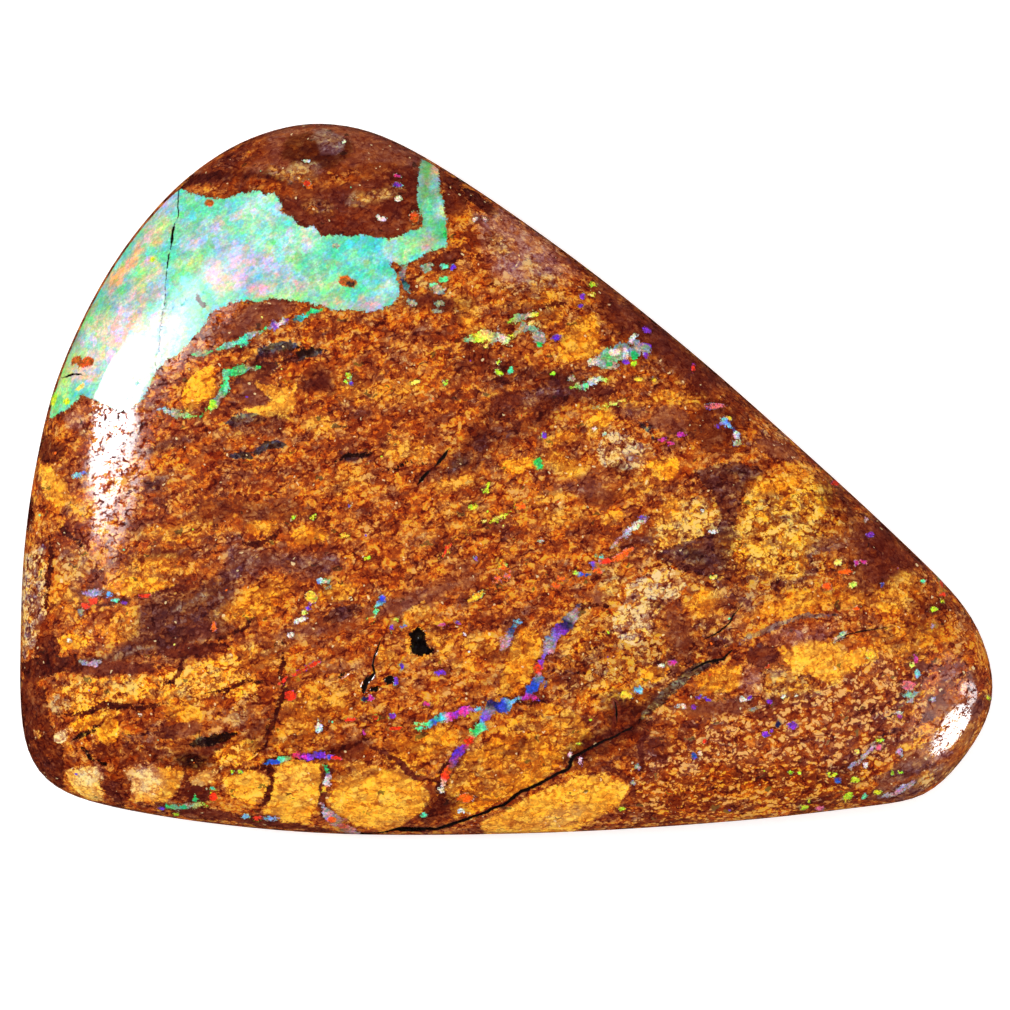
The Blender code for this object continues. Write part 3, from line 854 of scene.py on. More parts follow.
CLOUDS = [
    # Right of the thin crack
    Cloud(350, 262, 62, 30, 0, P.TEAL),
    Cloud(262, 216, 26, 16, 20, P.AQUA),
    Cloud(305, 240, 30, 14, 20, P.AQUA),
    Cloud(195, 208, 18, 10, 0, P.TEAL),
    Cloud(215, 222, 24, 7, 0, P.AZURE, 0.6),
    Cloud(186, 238, 12, 16, 0, P.SAGE, 0.6),
    Cloud(206, 238, 18, 8, 20, P.AZURE),
    Cloud(234, 248, 14, 8, 0, P.PERIWINKLE),
    Cloud(262, 240, 26, 10, 10, P.AQUA, 0.7),
    Cloud(204, 264, 22, 12, 0, P.PISTACHIO, 0.5),
    Cloud(220, 268, 16, 10, 20, P.LAVENDER),
    Cloud(246, 264, 10, 12, 0, P.LAVENDER),
    Cloud(268, 262, 14, 9, 0, P.LAVENDER),
    Cloud(284, 268, 12, 10, -20, P.AZURE),
    Cloud(252, 284, 12, 12, 0, P.PERIWINKLE, 0.6),
    Cloud(263, 290, 12, 10, 0, P.PINK),
    Cloud(240, 277, 12, 8, 20, P.PINK, 0.6),
    Cloud(300, 284, 20, 8, 0, P.PINK, 0.5),
    Cloud(226, 282, 12, 10, 20, P.PEARL),
    Cloud(290, 298, 24, 5, 0, P.PISTACHIO, 0.7),
    Cloud(330, 284, 14, 10, 0, P.PISTACHIO),
    Cloud(352, 292, 26, 9, 0, P.MINT, 0.5),
    Cloud(300, 258, 16, 8, 20, P.PISTACHIO, 0.4),
    Cloud(370, 303, 18, 6, 0, P.HEATHER, 0.8),
    Cloud(385, 306, 10, 6, 30, P.LAVENDER, 0.7),
    Cloud(335, 306, 16, 5, 10, P.BEIGE, 0.7),
    Cloud(368, 245, 22, 9, 0, P.CYAN),
    Cloud(386, 272, 10, 14, 0, P.CYAN, 0.8),
    Cloud(345, 252, 24, 8, 10, P.CYAN, 0.5),
    Cloud(388, 292, 6, 12, 0, P.AQUA, 0.6),
    Cloud(395, 250, 8, 12, 0, P.AQUA, 0.6),
    Cloud(410, 250, 12, 8, 25, P.PISTACHIO, 0.7),
    Cloud(430, 244, 8, 6, 0, P.HEATHER, 0.7),
    Cloud(432, 186, 16, 44, 0, P.MOSS, 0.9),
    Cloud(428, 170, 5, 12, 0, P.LEAF, 0.6),
    Cloud(436, 172, 4, 16, 0, P.BEIGE, 0.8),
    Cloud(434, 188, 6, 8, 0, P.SAGE, 0.8),
    Cloud(430, 212, 8, 12, 0, P.MINT, 0.8),
    Cloud(441, 212, 4, 12, 0, P.AQUA, 0.9),
    Cloud(440, 236, 6, 8, 0, P.GREEN, 0.7),
    # Left of the thin crack
    Cloud(158, 215, 20, 12, 40, P.AZURE, 0.8),
    Cloud(168, 200, 10, 12, 30, P.AZURE, 0.8),
    Cloud(165, 226, 8, 10, 0, P.PISTACHIO, 0.7),
    Cloud(146, 226, 14, 10, 40, P.SAGE, 0.8),
    Cloud(152, 244, 18, 8, 30, P.BEIGE, 0.8),
    Cloud(128, 262, 8, 28, -30, P.SAGE, 0.7),
    Cloud(134, 256, 5, 12, -30, P.PEACH),
    Cloud(122, 272, 5, 12, -30, P.PEACH),
    Cloud(113, 286, 6, 10, -20, P.PEACH),
    Cloud(150, 276, 16, 12, 0, P.PISTACHIO, 0.7),
    Cloud(154, 268, 8, 6, 0, P.PINK, 0.6),
    Cloud(138, 290, 10, 8, 0, P.BEIGE, 0.7),
    Cloud(162, 292, 10, 14, 0, P.LAVENDER, 0.8),
    Cloud(140, 306, 16, 10, 30, P.HEATHER, 0.8),
    Cloud(112, 300, 10, 12, -20, P.STEEL, 0.5),
    Cloud(120, 322, 14, 12, 0, P.LAVENDER, 0.7),
    Cloud(98, 316, 12, 16, -25, P.LEAF, 0.8),
    Cloud(92, 304, 7, 10, -25, P.LAGOON, 0.5),
    Cloud(100, 330, 12, 9, 0, P.SPRING, 0.7),
    Cloud(79, 340, 7, 9, -20, P.LAGOON, 0.9),
    Cloud(88, 352, 12, 8, 0, P.SAGE, 0.8),
    Cloud(72, 358, 9, 10, -20, P.SPRING, 0.7),
    Cloud(84, 372, 14, 10, 0, P.BEIGE, 0.8),
    Cloud(62, 382, 10, 12, -20, P.LIME, 0.6),
    Cloud(56, 402, 10, 10, 0, P.SPRING, 0.6),
    Cloud(130, 352, 40, 40, 0, P.PEARL, 0.7),
    Cloud(170, 330, 24, 16, 30, P.AZURE, 0.6),
]


@dataclass(frozen=True)
class Vein:
    """A thin vein of opal: its half width in pixels, its route and its colours in order."""

    half_width: float
    route: tuple[tuple[float, float], ...]
    colours: tuple[Play, ...]


VEINS = [
    Vein(3.2, ((196, 357), (206, 356), (214, 354)), (P.GREEN, P.SMOKE, P.GREEN)),
    Vein(
        3.4,
        ((220, 351), (235, 346), (249, 341), (256, 336), (267, 331)),
        (P.MINT, P.SMOKE, P.MINT, P.CYAN, P.SMOKE, P.GREEN),
    ),
    Vein(3.6, ((272, 330), (284, 325), (290, 322)), (P.SMOKE, P.VIOLET, P.MIST, P.VIOLET)),
    Vein(2.2, ((294, 322), (303, 321), (312, 316), (322, 312)), (P.NAVY, P.CYAN, P.GREEN)),
    Vein(
        3.2,
        ((262, 369), (246, 371), (230, 376), (228, 388), (221, 400), (210, 412), (204, 418)),
        (P.GREEN, P.SMOKE, P.GREEN, P.MINT, P.GREEN, P.SMOKE, P.SPRING, P.GREEN),
    ),
    Vein(2.6, ((200, 418), (180, 414), (162, 410)), (P.SPRING, P.SMOKE, P.AZURE)),
    Vein(
        5.4,
        ((578, 604), (571, 618), (558, 632), (549, 645), (541, 658)),
        (P.NAVY, P.HAZE, P.NAVY, P.VIOLET, P.STEEL, P.HAZE, P.VIOLET),
    ),
    Vein(
        5.0,
        ((541, 658), (537, 668), (540, 676), (532, 688), (524, 696)),
        (P.VIOLET, P.RED, P.STEEL, P.BLUE, P.BLUE, P.MAGENTA),
    ),
    Vein(
        5.0,
        ((520, 696), (504, 703), (494, 702), (486, 714), (478, 727), (470, 738)),
        (P.STEEL, P.SKY, P.BLUE, P.NAVY, P.STEEL, P.VIOLET, P.MINT, P.LEAF, P.RED),
    ),
    Vein(
        3.0,
        ((470, 738), (456, 755), (447, 770), (443, 786)),
        (P.RED, P.VIOLET, P.VIOLET, P.RUST, P.RED, P.MIST),
    ),
    Vein(
        3.4,
        ((478, 706), (464, 710), (452, 713), (441, 716), (430, 721), (417, 722)),
        (P.SKY, P.MAGENTA, P.VIOLET, P.MAGENTA, P.CYAN, P.BLUE, P.MINT, P.SPRING),
    ),
    Vein(3, ((519, 619), (513, 627), (506, 640), (502, 648)), (P.SKY, P.NAVY, P.HAZE, P.HAZE)),
    Vein(
        2.6,
        ((268, 761), (284, 757), (300, 754), (322, 753), (338, 755)),
        (P.BLUE, P.GREEN, P.RED, P.VIOLET, P.BLUE, P.ROSE),
    ),
    Vein(2.4, ((324, 762), (330, 772), (327, 786)), (P.GREEN, P.NAVY, P.MIST, P.EMBER)),
    Vein(4.5, ((322, 801), (330, 813), (345, 825), (358, 832)), (P.HAZE, P.HAZE, P.RUST, P.HAZE)),
    Vein(2.4, ((168, 805), (184, 806), (198, 802), (208, 803)), (P.GREEN, P.SMOKE, P.LIME)),
    Vein(
        4.0,
        ((466, 342), (478, 340), (490, 337), (506, 341), (520, 333)),
        (P.SMOKE, P.LIME, P.LEMON, P.SMOKE, P.MIST, P.LIME, P.SMOKE),
    ),
    Vein(5, ((520, 333), (530, 330), (540, 340)), (P.SMOKE, P.LEAF, P.SMOKE, P.STEEL)),
    Vein(2.6, ((508, 324), (520, 319), (538, 315)), (P.LIME, P.SMOKE, P.LIME)),
    Vein(
        7.5,
        ((592, 363), (604, 362), (616, 358), (630, 352), (648, 347)),
        (P.MIST, P.SMOKE, P.LEAF, P.SMOKE, P.STEEL, P.SMOKE, P.VIOLET),
    ),
    Vein(2.4, ((570, 389), (584, 388), (594, 381), (606, 381)), (P.LIME, P.SMOKE, P.MIST, P.LIME)),
    Vein(1.6, ((592, 408), (604, 407), (614, 405), (628, 400)), (P.SMOKE, P.LIME, P.LEMON, P.RUST)),
    Vein(2.6, ((608, 548), (618, 538), (632, 528), (646, 516)), (P.SMOKE, P.HAZE, P.MIST, P.HAZE)),
    Vein(1.4, ((492, 521), (500, 517), (508, 512)), (P.LIME, P.LEMON, P.LIME)),
    Vein(2.2, ((830, 640), (836, 636), (842, 631)), (P.BEIGE, P.BEIGE)),
    Vein(2.2, ((897, 693), (906, 694), (916, 691)), (P.STEEL, P.SAGE, P.STEEL)),
    Vein(2.8, ((84, 661), (94, 663), (104, 660)), (P.STEEL, P.HAZE, P.STEEL)),
    Vein(2, ((718, 427), (724, 422), (728, 427)), (P.VIOLET, P.SKY, P.BLUE)),
    Vein(2.4, ((405, 270), (404, 282), (410, 294)), (P.SMOKE, P.NAVY, P.LAGOON)),
]


@dataclass(frozen=True)
class Flecks:
    """Small flecks of one opal colour: place, half length, half width and turn of each."""

    colour: Play
    spots: tuple[tuple[float, ...], ...]


FLECKS = [
    Flecks(
        P.LIME,
        ((350, 377, 2.4, 2), (348, 383, 2, 2), (446, 385, 3, 2, 30), (316, 517, 3, 2, 30))
        + ((296, 518, 2, 2), (369, 558, 3, 2), (471, 506, 2, 2), (486, 491, 3, 2), (488, 485, 2, 2))
        + ((474, 506, 4, 2.6, 30), (499, 374, 4, 2.6), (499, 364, 2, 2), (552, 374, 2, 2))
        + ((592, 286, 4, 2, 20), (633, 364, 3, 3), (398, 618, 3, 2), (572, 572, 3, 2, 40))
        + ((931, 609, 4, 2.4), (941, 601, 2, 2), (877, 737, 3, 2), (797, 771, 2, 2), (832, 773, 3, 2))
        + ((853, 778, 4, 2.6), (846, 795, 6, 4, 40), (876, 791, 4, 2.6), (804, 806, 4, 2.4))
        + ((890, 771, 2, 2), (898, 771, 2, 2), (788, 770, 2, 2), (827, 772, 2, 2), (808, 799, 2, 2))
        + ((621, 807, 4, 2), (578, 742, 3, 1.6), (234, 769, 2, 2), (243, 769, 2, 2), (177, 814, 3, 2))
        + ((987, 697, 3, 2), (55, 400, 3, 6, -20), (70, 402, 3, 3), (215, 405, 3, 3), (155, 262, 2, 2)),
    ),
    Flecks(
        P.LEMON,
        ((417, 384, 4, 2, 20), (591, 296, 3, 2), (307, 611, 3, 2), (711, 576, 4, 2), (835, 562, 4, 2.6))
        + ((850, 584, 4, 2.6), (909, 664, 3, 2), (531, 325, 3, 2), (486, 348, 3, 2), (854, 749, 2, 2))
        + ((613, 405, 4, 2), (83, 388, 4, 2, 30), (505, 565, 3, 2, 40), (486, 521, 2, 2)),
    ),
    Flecks(
        P.GOLD,
        ((347, 535, 4, 2.4), (314, 596, 6, 6), (477, 595, 10, 3, 35), (624, 693, 6, 4), (637, 380, 4, 2))
        + ((653, 380, 3, 2), (727, 419, 4, 2), (325, 788, 3, 3), (867, 653, 5, 5)),
    ),
    Flecks(
        P.MINT,
        ((510, 372, 3, 3), (444, 281, 5, 3.4, 30), (435, 288, 4, 3), (445, 269, 4, 3))
        + ((585, 387, 2, 4), (941, 578, 3, 2))
        + ((921, 581, 3, 2), (119, 600, 3, 2), (284, 757, 3, 2), (422, 726, 5, 2), (598, 556, 3, 2))
        + ((230, 388, 3, 5), (863, 795, 3, 3), (215, 787, 3, 2), (378, 610, 2, 4), (424, 813, 3, 3)),
    ),
    Flecks(
        P.SMOKE,
        ((539, 340, 7, 7), (524, 329, 5, 5), (608, 367, 9, 4), (645, 352, 5, 6), (571, 380, 4, 3))
        + ((412, 305, 6, 3, -20), (440, 305, 5, 3), (438, 313, 4, 2), (428, 270, 6, 4, 20))
        + ((330, 580, 3, 3), (330, 586, 3, 2), (337, 249, 3, 2), (636, 764, 3, 3), (632, 780, 2, 2))
        + ((751, 707, 4, 3), (85, 611, 3, 3), (735, 443, 5, 3), (440, 292, 7, 4)),
    ),
    Flecks(
        P.GREEN,
        ((538, 464, 5, 6, 20), (539, 346, 3, 2), (634, 357, 3, 4), (474, 728, 4, 2.4), (329, 768, 3, 2))
        + ((312, 316, 3, 2), (185, 805, 3, 2), (197, 797, 2, 3), (608, 366, 3, 2), (446, 236, 2, 4)),
    ),
    Flecks(
        P.MIST,
        ((613, 354, 5, 3), (625, 356, 2.4, 6), (590, 363, 3, 3), (593, 380, 3, 2), (399, 201, 3, 3))
        + ((603, 435, 2.4, 2.4), (593, 430, 2, 2), (735, 436, 4, 5), (711, 531, 5, 2), (700, 511, 2, 2))
        + ((540, 540, 2.4, 3.6), (302, 619, 6, 3, 20), (323, 580, 3, 2.4), (321, 724, 3.4, 6))
        + ((144, 712, 2, 2),)
        + ((72, 640, 2.4, 2.4), (383, 222, 4, 2.6), (379, 218, 2, 2), (308, 163, 3, 2), (345, 144, 2, 2))
        + ((569, 751, 2, 3), (580, 758, 2, 4), (896, 711, 4, 2.4), (862, 763, 3, 3), (659, 663, 3, 2))
        + ((442, 788, 3, 2.4), (677, 704, 5, 1.6), (475, 221, 2.4, 2.4), (485, 221, 2.4, 2))
        + ((463, 809, 4, 2.6),)
        + ((294, 634, 4, 3), (465, 632, 2, 2), (632, 339, 5, 2, 40), (328, 781, 4, 2), (902, 785, 3, 3))
        + ((740, 697, 4, 2.6), (699, 751, 2.4, 2.4), (682, 704, 2, 2), (780, 695, 2, 2), (793, 693, 2, 2)),
    ),
    Flecks(
        P.VIOLET,
        ((398, 187, 4, 2.4), (453, 270, 3, 3), (557, 340, 6, 3), (625, 363, 4, 2), (645, 357, 2.4, 2.4))
        + ((646, 331, 4, 3), (582, 297, 3, 3), (580, 308, 3, 2), (544, 437, 3.4, 3), (476, 557, 3, 2))
        + ((591, 563, 3, 3), (640, 518, 3, 2), (311, 607, 2.4, 2.4), (393, 626, 2.6, 3.6), (397, 679, 2.4, 4))
        + ((403, 663, 2, 3), (441, 670, 5, 2.4), (393, 714, 3.4, 3), (322, 753, 5, 2.6), (406, 625, 3, 2))
        + ((458, 621, 3, 2), (128, 602, 3, 2), (163, 807, 3, 2), (868, 535, 4, 3), (716, 427, 3, 2))
        + ((697, 695, 3, 2), (706, 697, 3, 2), (747, 695, 3, 2), (767, 699, 3, 2), (790, 723, 5, 3.4))
        + ((763, 732, 4, 2.6), (769, 728, 2, 2), (692, 704, 3, 2), (352, 506, 2, 2), (354, 385, 2, 2)),
    ),
    Flecks(
        P.MAGENTA,
        ((661, 440, 4, 2.4), (669, 444, 4, 1.6), (679, 435, 4, 2), (371, 696, 4, 2.4), (366, 730, 2, 2))
        + ((464, 710, 4, 3), (671, 661, 4, 2.6), (913, 659, 2, 4), (853, 563, 3, 3), (862, 562, 3, 2))
        + ((897, 715, 3, 2), (444, 624, 4, 2), (533, 696, 6, 2), (398, 178, 3, 2), (427, 702, 3, 2)),
    ),
    Flecks(
        P.BLUE,
        ((383, 598, 4, 4), (583, 574, 4, 3), (276, 759, 5, 2.4), (333, 754, 4, 2.6), (531, 687, 5, 4))
        + ((879, 584, 2, 3), (692, 754, 3, 3), (87, 473, 4, 2), (503, 704, 4, 3), (835, 779, 3, 2.4)),
    ),
    Flecks(
        P.SKY,
        ((380, 603, 3, 3), (112, 593, 4, 3), (517, 620, 4, 2), (80, 475, 5, 2.6), (723, 421, 3, 2))
        + ((727, 427, 3, 2), (914, 672, 3, 4), (248, 815, 4, 3), (272, 817, 6, 2), (637, 688, 5, 4)),
    ),
    Flecks(
        P.RED,
        ((309, 186, 4, 3), (97, 600, 5, 4), (89, 605, 5, 3), (149, 595, 5, 2.6), (215, 795, 4, 4))
        + ((293, 693, 5, 5), (301, 670, 6, 2, 20), (315, 662, 7, 2, 25), (286, 678, 5, 2, 50))
        + ((353, 717, 5, 2), (377, 715, 3, 2), (397, 726, 6, 2.4), (469, 738, 5, 3.4), (537, 666, 3.4, 4.6))
        + ((693, 369, 2, 4), (515, 540, 2, 2), (603, 561, 6, 4), (703, 738, 2.4, 2.4), (765, 665, 2, 2))
        + ((941, 584, 2, 4), (941, 594, 3, 2.4), (450, 545, 6, 2, 40), (460, 538, 5, 2, 40))
        + ((470, 531, 4, 2, 40),)
        + ((338, 755, 4, 2), (259, 817, 4, 2), (445, 554, 4, 2, 30), (835, 483, 4, 2.4)),
    ),
    Flecks(
        P.EMBER,
        ((520, 506, 6, 4), (621, 554, 12, 4, 30), (555, 584, 5, 3), (560, 578, 4, 3), (598, 570, 5, 3))
        + ((502, 566, 5, 3, 50), (508, 574, 7, 3, 60), (497, 578, 5, 3, 40), (373, 618, 4, 3))
        + ((465, 796, 9, 4), (841, 571, 8, 3), (823, 586, 5, 4), (853, 607, 3, 2), (333, 818, 4, 2))
        + ((217, 625, 3, 5), (502, 560, 4, 3)),
    ),
    Flecks(P.ROSE, ((905, 684, 8, 5), (713, 407, 9, 2), (819, 807, 4, 2.6), (875, 745, 4, 3))),
    Flecks(
        P.HAZE,
        ((97, 592, 10, 4), (851, 763, 7, 2.6, 35), (860, 755, 8, 2.8, 42), (869, 746, 6, 2.6, 60))
        + ((897, 751, 3, 4), (886, 794, 8, 2.6, 14), (898, 789, 8, 3, 26), (908, 783, 6, 2.4, 36))
        + ((930, 625, 3, 2), (907, 699, 3, 2), (930, 698, 3, 2), (505, 641, 4, 6, 20), (864, 520, 2, 3)),
    ),
    Flecks(
        P.RUST,
        ((349, 284, 8.5, 5.2, -8), (212, 205, 4, 3), (88, 363, 8, 5, 20), (78, 361, 5, 3, 30))
        + ((415, 220, 4, 6),),
    ),
    Flecks(P.UMBER, ((201, 300, 2.6, 3, 30), (205, 306, 3.4, 2, -50), (352, 286, 3.4, 2, 10))),
    Flecks(P.NAVY, ((366, 696, 3, 2.4), (775, 722, 3, 3))),
]


@dataclass(frozen=True)
class Crack:
    """A dark hairline crack: its greatest half width in pixels and its route."""

    half_width: float
    route: tuple[tuple[float, float], ...]


CRACKS = [
    Crack(
        1.7,
        ((361, 833), (385, 831), (399, 828), (415, 826), (435, 828), (459, 820), (479, 812))
        + ((503, 802), (521, 790), (539, 782), (551, 774), (567, 766), (573, 754), (595, 742))
        + ((615, 732), (629, 725)),
    ),
    Crack(2.6, ((396, 829), (408, 827), (424, 828))),
    Crack(1.5, ((690, 669), (705, 660), (720, 656), (728, 650))),
    Crack(1, ((735, 608), (726, 622), (718, 629), (703, 638))),
    Crack(0.8, ((832, 640), (845, 632), (861, 630), (882, 627))),
    Crack(1.2, ((383, 638), (377, 654), (375, 664), (377, 671), (367, 678))),
    Crack(2.6, ((377, 671), (368, 678), (365, 690))),
    Crack(1.9, ((449, 452), (442, 461), (437, 466))),
    Crack(1.7, ((430, 472), (425, 478), (420, 484))),
    Crack(0.6, ((181, 190), (180, 204), (179, 222))),
    Crack(1.4, ((177, 226), (175, 232), (174, 238), (173, 248))),
    Crack(0.8, ((171, 256), (170, 262), (169, 270))),
    Crack(0.4, ((169, 272), (168, 290), (167, 305), (165, 322), (163, 340), (160, 366))),
    Crack(1, ((613, 700), (616, 710), (615, 719))),
    Crack(1, ((65, 378), (74, 375), (84, 376))),
]


def only(piece: bpy.types.Object) -> None:
    """Make one piece the active and only selected object.

    Args:
        piece: Object to select.
    """
    bpy.ops.object.select_all(action="DESELECT")
    piece.select_set(True)
    bpy.context.view_layer.objects.active = piece


def mesh_points(mesh: bpy.types.Mesh) -> np.ndarray:
    """All vertex places of a mesh, one a row.

    Args:
        mesh: Mesh to read.

    Returns:
        One vertex a row, in metres.
    """
    flat = np.empty(len(mesh.vertices) * 3)
    mesh.vertices.foreach_get("co", flat)
    return flat.reshape(-1, 3)


def mesh_normals(mesh: bpy.types.Mesh) -> np.ndarray:
    """All vertex normals of a mesh, one a row.

    Args:
        mesh: Mesh to read.

    Returns:
        One unit vector a row.
    """
    flat = np.empty(len(mesh.vertices) * 3)
    mesh.vertex_normals.foreach_get("vector", flat)
    return flat.reshape(-1, 3)


@dataclass
class StoneBody:
    """The stone's fine mesh: a refined copy of its solid, with cracks and pits cut in."""

    name: str = "polished_opal_stone"
    merge_reach: float = 0.004 * MM
    pairing_angle: float = 0.7
    face_height: float = 1.35 * MM
    face_rise: float = 0.2 * MM
    face_size_px: float = 4.0
    border_size_px: float = 3.2
    mark_size_px: float = 2.0
    border_reach_px: float = 2.0
    hard_border_px: float = 6.0
    seam_reach_px: float = 5.0
    wide_reach_px: float = 4.0
    near_reach_px: float = 0.8
    crack_depth: float = 0.03 * MM
    pit_depth: float = 0.04 * MM
    girdle_height: float = GIRDLE_HEIGHT
    edge_fullness: float = 2.8
    back_tuck: float = 0.8 * MM
    sheet_start: tuple[float, float] = (0.01, 0.235)
    sheet_width: float = 0.98
    back_start: tuple[float, float] = (0.01, 0.01)
    back_height: float = 0.215
    back_slope: float = -0.8

    def build(self) -> bpy.types.Object:
        """Make the fine mesh and return its object.

        Returns:
            The stone's object.
        """
        stone = self._copy_of_solid()
        self._round(stone)
        self._divide(stone, self._on_face)
        self._divide(stone, self._near_borders)
        self._divide(stone, self._near_marks)
        self._cut_marks(stone)
        self._lay_out(stone)
        only(stone)
        bpy.ops.object.shade_smooth()
        return stone

    def _copy_of_solid(self) -> bpy.types.Object:
        """Copy the solid, join its loose triangles and pair them into four-sided faces.

        Returns:
            The copy's object.
        """
        solid = bpy.data.objects[STONE_NODE]
        stone = bpy.data.objects.new(self.name, solid.data.copy())
        bpy.context.scene.collection.objects.link(stone)
        stone.data.name = self.name
        stone.data.materials.clear()
        only(stone)
        bpy.ops.object.mode_set(mode="EDIT")
        bpy.ops.mesh.select_all(action="SELECT")
        bpy.ops.mesh.remove_doubles(threshold=self.merge_reach)
        bpy.ops.mesh.tris_convert_to_quads(
            face_threshold=self.pairing_angle, shape_threshold=self.pairing_angle
        )
        bpy.ops.object.mode_set(mode="OBJECT")
        return stone

    def _round(self, stone: bpy.types.Object) -> None:
        """Round the faceted stone all over.

        Args:
            stone: The stone's object.
        """
        smooth = stone.modifiers.new("roundness", "SUBSURF")
        smooth.levels = 1
        smooth.render_levels = 1
        only(stone)
        bpy.ops.object.modifier_apply(modifier=smooth.name)

    def _divide(self, stone: bpy.types.Object, chosen: Callable[..., np.ndarray]) -> None:
        """Divide the polygons that a rule chooses, once each way.

        Args:
            stone: The stone's object.
            chosen: Rule that picks polygons by their middles and sizes.
        """
        count = len(stone.data.polygons)
        centres = np.empty(count * 3)
        stone.data.polygons.foreach_get("center", centres)
        areas = np.empty(count)
        stone.data.polygons.foreach_get("area", areas)
        near = chosen(centres.reshape(-1, 3), np.sqrt(areas) / PLANE.metres_per_px)
        only(stone)
        bpy.ops.object.mode_set(mode="EDIT")
        bpy.ops.mesh.select_mode(type="FACE")
        bpy.ops.mesh.select_all(action="DESELECT")
        bpy.ops.object.mode_set(mode="OBJECT")
        stone.data.polygons.foreach_set("select", near)
        bpy.ops.object.mode_set(mode="EDIT")
        bpy.ops.mesh.subdivide(number_cuts=1, smoothness=0.0, quadcorner="INNERVERT")
        bpy.ops.object.mode_set(mode="OBJECT")

    def _on_face(self, centres: np.ndarray, sizes_px: np.ndarray) -> np.ndarray:
        """Polygons of the domed face."""
        return (centres[:, 2] > self.face_height) & (sizes_px > self.face_size_px)

    def _near_borders(self, centres: np.ndarray, sizes_px: np.ndarray) -> np.ndarray:
        """Polygons of the domed face that are still large, where something borders.

        Args:
            centres: One polygon's middle a row, in metres.
            sizes_px: Width of each polygon.

        Returns:
            One true or false a polygon.
        """
        points = PLANE.to_px(centres)
        near = self._fine_marks(points, self.wide_reach_px)
        reach = self.border_reach_px
        for mark in GROUND_MARKS:
            if isinstance(mark, Block) and mark.soft_px < self.hard_border_px:
                near |= np.abs(depth_in_loop(points, mark.loop)) < reach + mark.soft_px
            elif isinstance(mark, Streak):
                near |= route_gaps(points, mark.route)[0] < reach + mark.half_width
        near |= np.abs(depth_in_loop(points, SEAM_PX)) < self.seam_reach_px
        return near & (centres[:, 2] > self.face_height) & (sizes_px > self.border_size_px)

    def _near_marks(self, centres: np.ndarray, sizes_px: np.ndarray) -> np.ndarray:
        """Polygons on or right beside a crack, a vein, a fleck or an open pit."""
        near = self._fine_marks(PLANE.to_px(centres), self.near_reach_px)
        return near & (centres[:, 2] > self.face_height) & (sizes_px > self.mark_size_px)

    def _fine_marks(self, points: np.ndarray, reach_px: float) -> np.ndarray:
        """Whether points lie within a reach of a crack, a vein, a fleck or an open pit.

        Args:
            points: One point a row, in pixels.
            reach_px: Reach beyond a mark's edge.

        Returns:
            One true or false a point.
        """
        near = np.zeros(len(points), dtype=bool)
        for line in [*CRACKS, *VEINS]:
            near |= route_gaps(points, line.route)[0] < reach_px + line.half_width
        spots = [spot[:3] for flecks in FLECKS for spot in flecks.spots]
        spots += [(mark.x, mark.y, mark.long) for mark in GROUND_MARKS if mark.ground is Ground.PIT]
        for x, y, long in spots:
            near |= np.hypot(points[:, 0] - x, points[:, 1] - y) < long + reach_px
        return near

    def _cut_marks(self, stone: bpy.types.Object) -> None:
        """Sink the cracks and the open pits into the face.

        Args:
            stone: The stone's object.
        """
        points = mesh_points(stone.data)
        normals = mesh_normals(stone.data)
        points_px = PLANE.to_px(points)
        ragged = crack_plane(points_px)
        face = smooth_step(points[:, 2], self.face_height, self.face_height + self.face_rise)
        depth = np.zeros(len(points))
        for crack in CRACKS:
            gap, _, along = route_gaps(ragged, crack.route)
            half = crack.half_width * crack_taper(along)
            share = smooth_step(half + 0.6 - gap, 0.0, 1.6)
            depth = np.maximum(depth, share * self.crack_depth)
        for mark in GROUND_MARKS:
            if mark.ground is Ground.PIT:
                depth = np.maximum(depth, mark.cover(crisp_plane(points_px)) * self.pit_depth)
        points -= normals * (depth * face)[:, None]
        stone.data.vertices.foreach_set("co", points.ravel())
        stone.data.update()

    def _lay_out(self, stone: bpy.types.Object) -> None:
        """Lay the face and the wall out flat as one sheet, and the back as a second one.

        Args:
            stone: The stone's object.
        """
        mesh = stone.data
        points = mesh_points(mesh)
        normals = mesh_normals(mesh)
        outward = normals[:, :2] / np.maximum(np.hypot(normals[:, 0], normals[:, 1]), 1e-6)[:, None]
        drop = np.clip(self.girdle_height - points[:, 2], 0.0, self.girdle_height)
        fall = (drop / self.girdle_height) ** self.edge_fullness
        tuck = self.back_tuck * (1.0 - (1.0 - fall) ** (1.0 / self.edge_fullness))
        spread = points[:, :2] + outward * (2.0 * tuck + drop)[:, None]
        low = spread.min(axis=0)
        width = (spread - low)[:, 0].max() / self.sheet_width
        sheet = (spread - low) / width + np.array(self.sheet_start)
        back = points[:, :2] - points[:, :2].min(axis=0)
        back = back * self.back_height / np.ptp(points[:, 1]) + np.array(self.back_start)

        corner_points = np.empty(len(mesh.loops), dtype=np.int32)
        mesh.loops.foreach_get("vertex_index", corner_points)
        sizes = np.empty(len(mesh.polygons), dtype=np.int32)
        mesh.polygons.foreach_get("loop_total", sizes)
        facing = np.empty(len(mesh.polygons) * 3)
        mesh.polygons.foreach_get("normal", facing)
        on_back = np.repeat(facing.reshape(-1, 3)[:, 2] < self.back_slope, sizes)
        spots = np.where(on_back[:, None], back[corner_points], sheet[corner_points])
        for old in list(mesh.uv_layers):
            mesh.uv_layers.remove(old)
        layer = mesh.uv_layers.new(name="OFBake")
        layer.uv.foreach_set("vector", spots.astype(np.float32).ravel())


def crack_plane(points_px: np.ndarray) -> np.ndarray:
    """Points in which the cracks run straight, though on the stone they wander a little."""
    return wander(points_px, 1.2, 9.0, 21)


def crisp_plane(points_px: np.ndarray) -> np.ndarray:
    """Points in which the hard-edged marks keep their drawn shape."""
    return wander(wander(points_px, 1.6, 12.0, 5), 1.0, 4.5, 7)


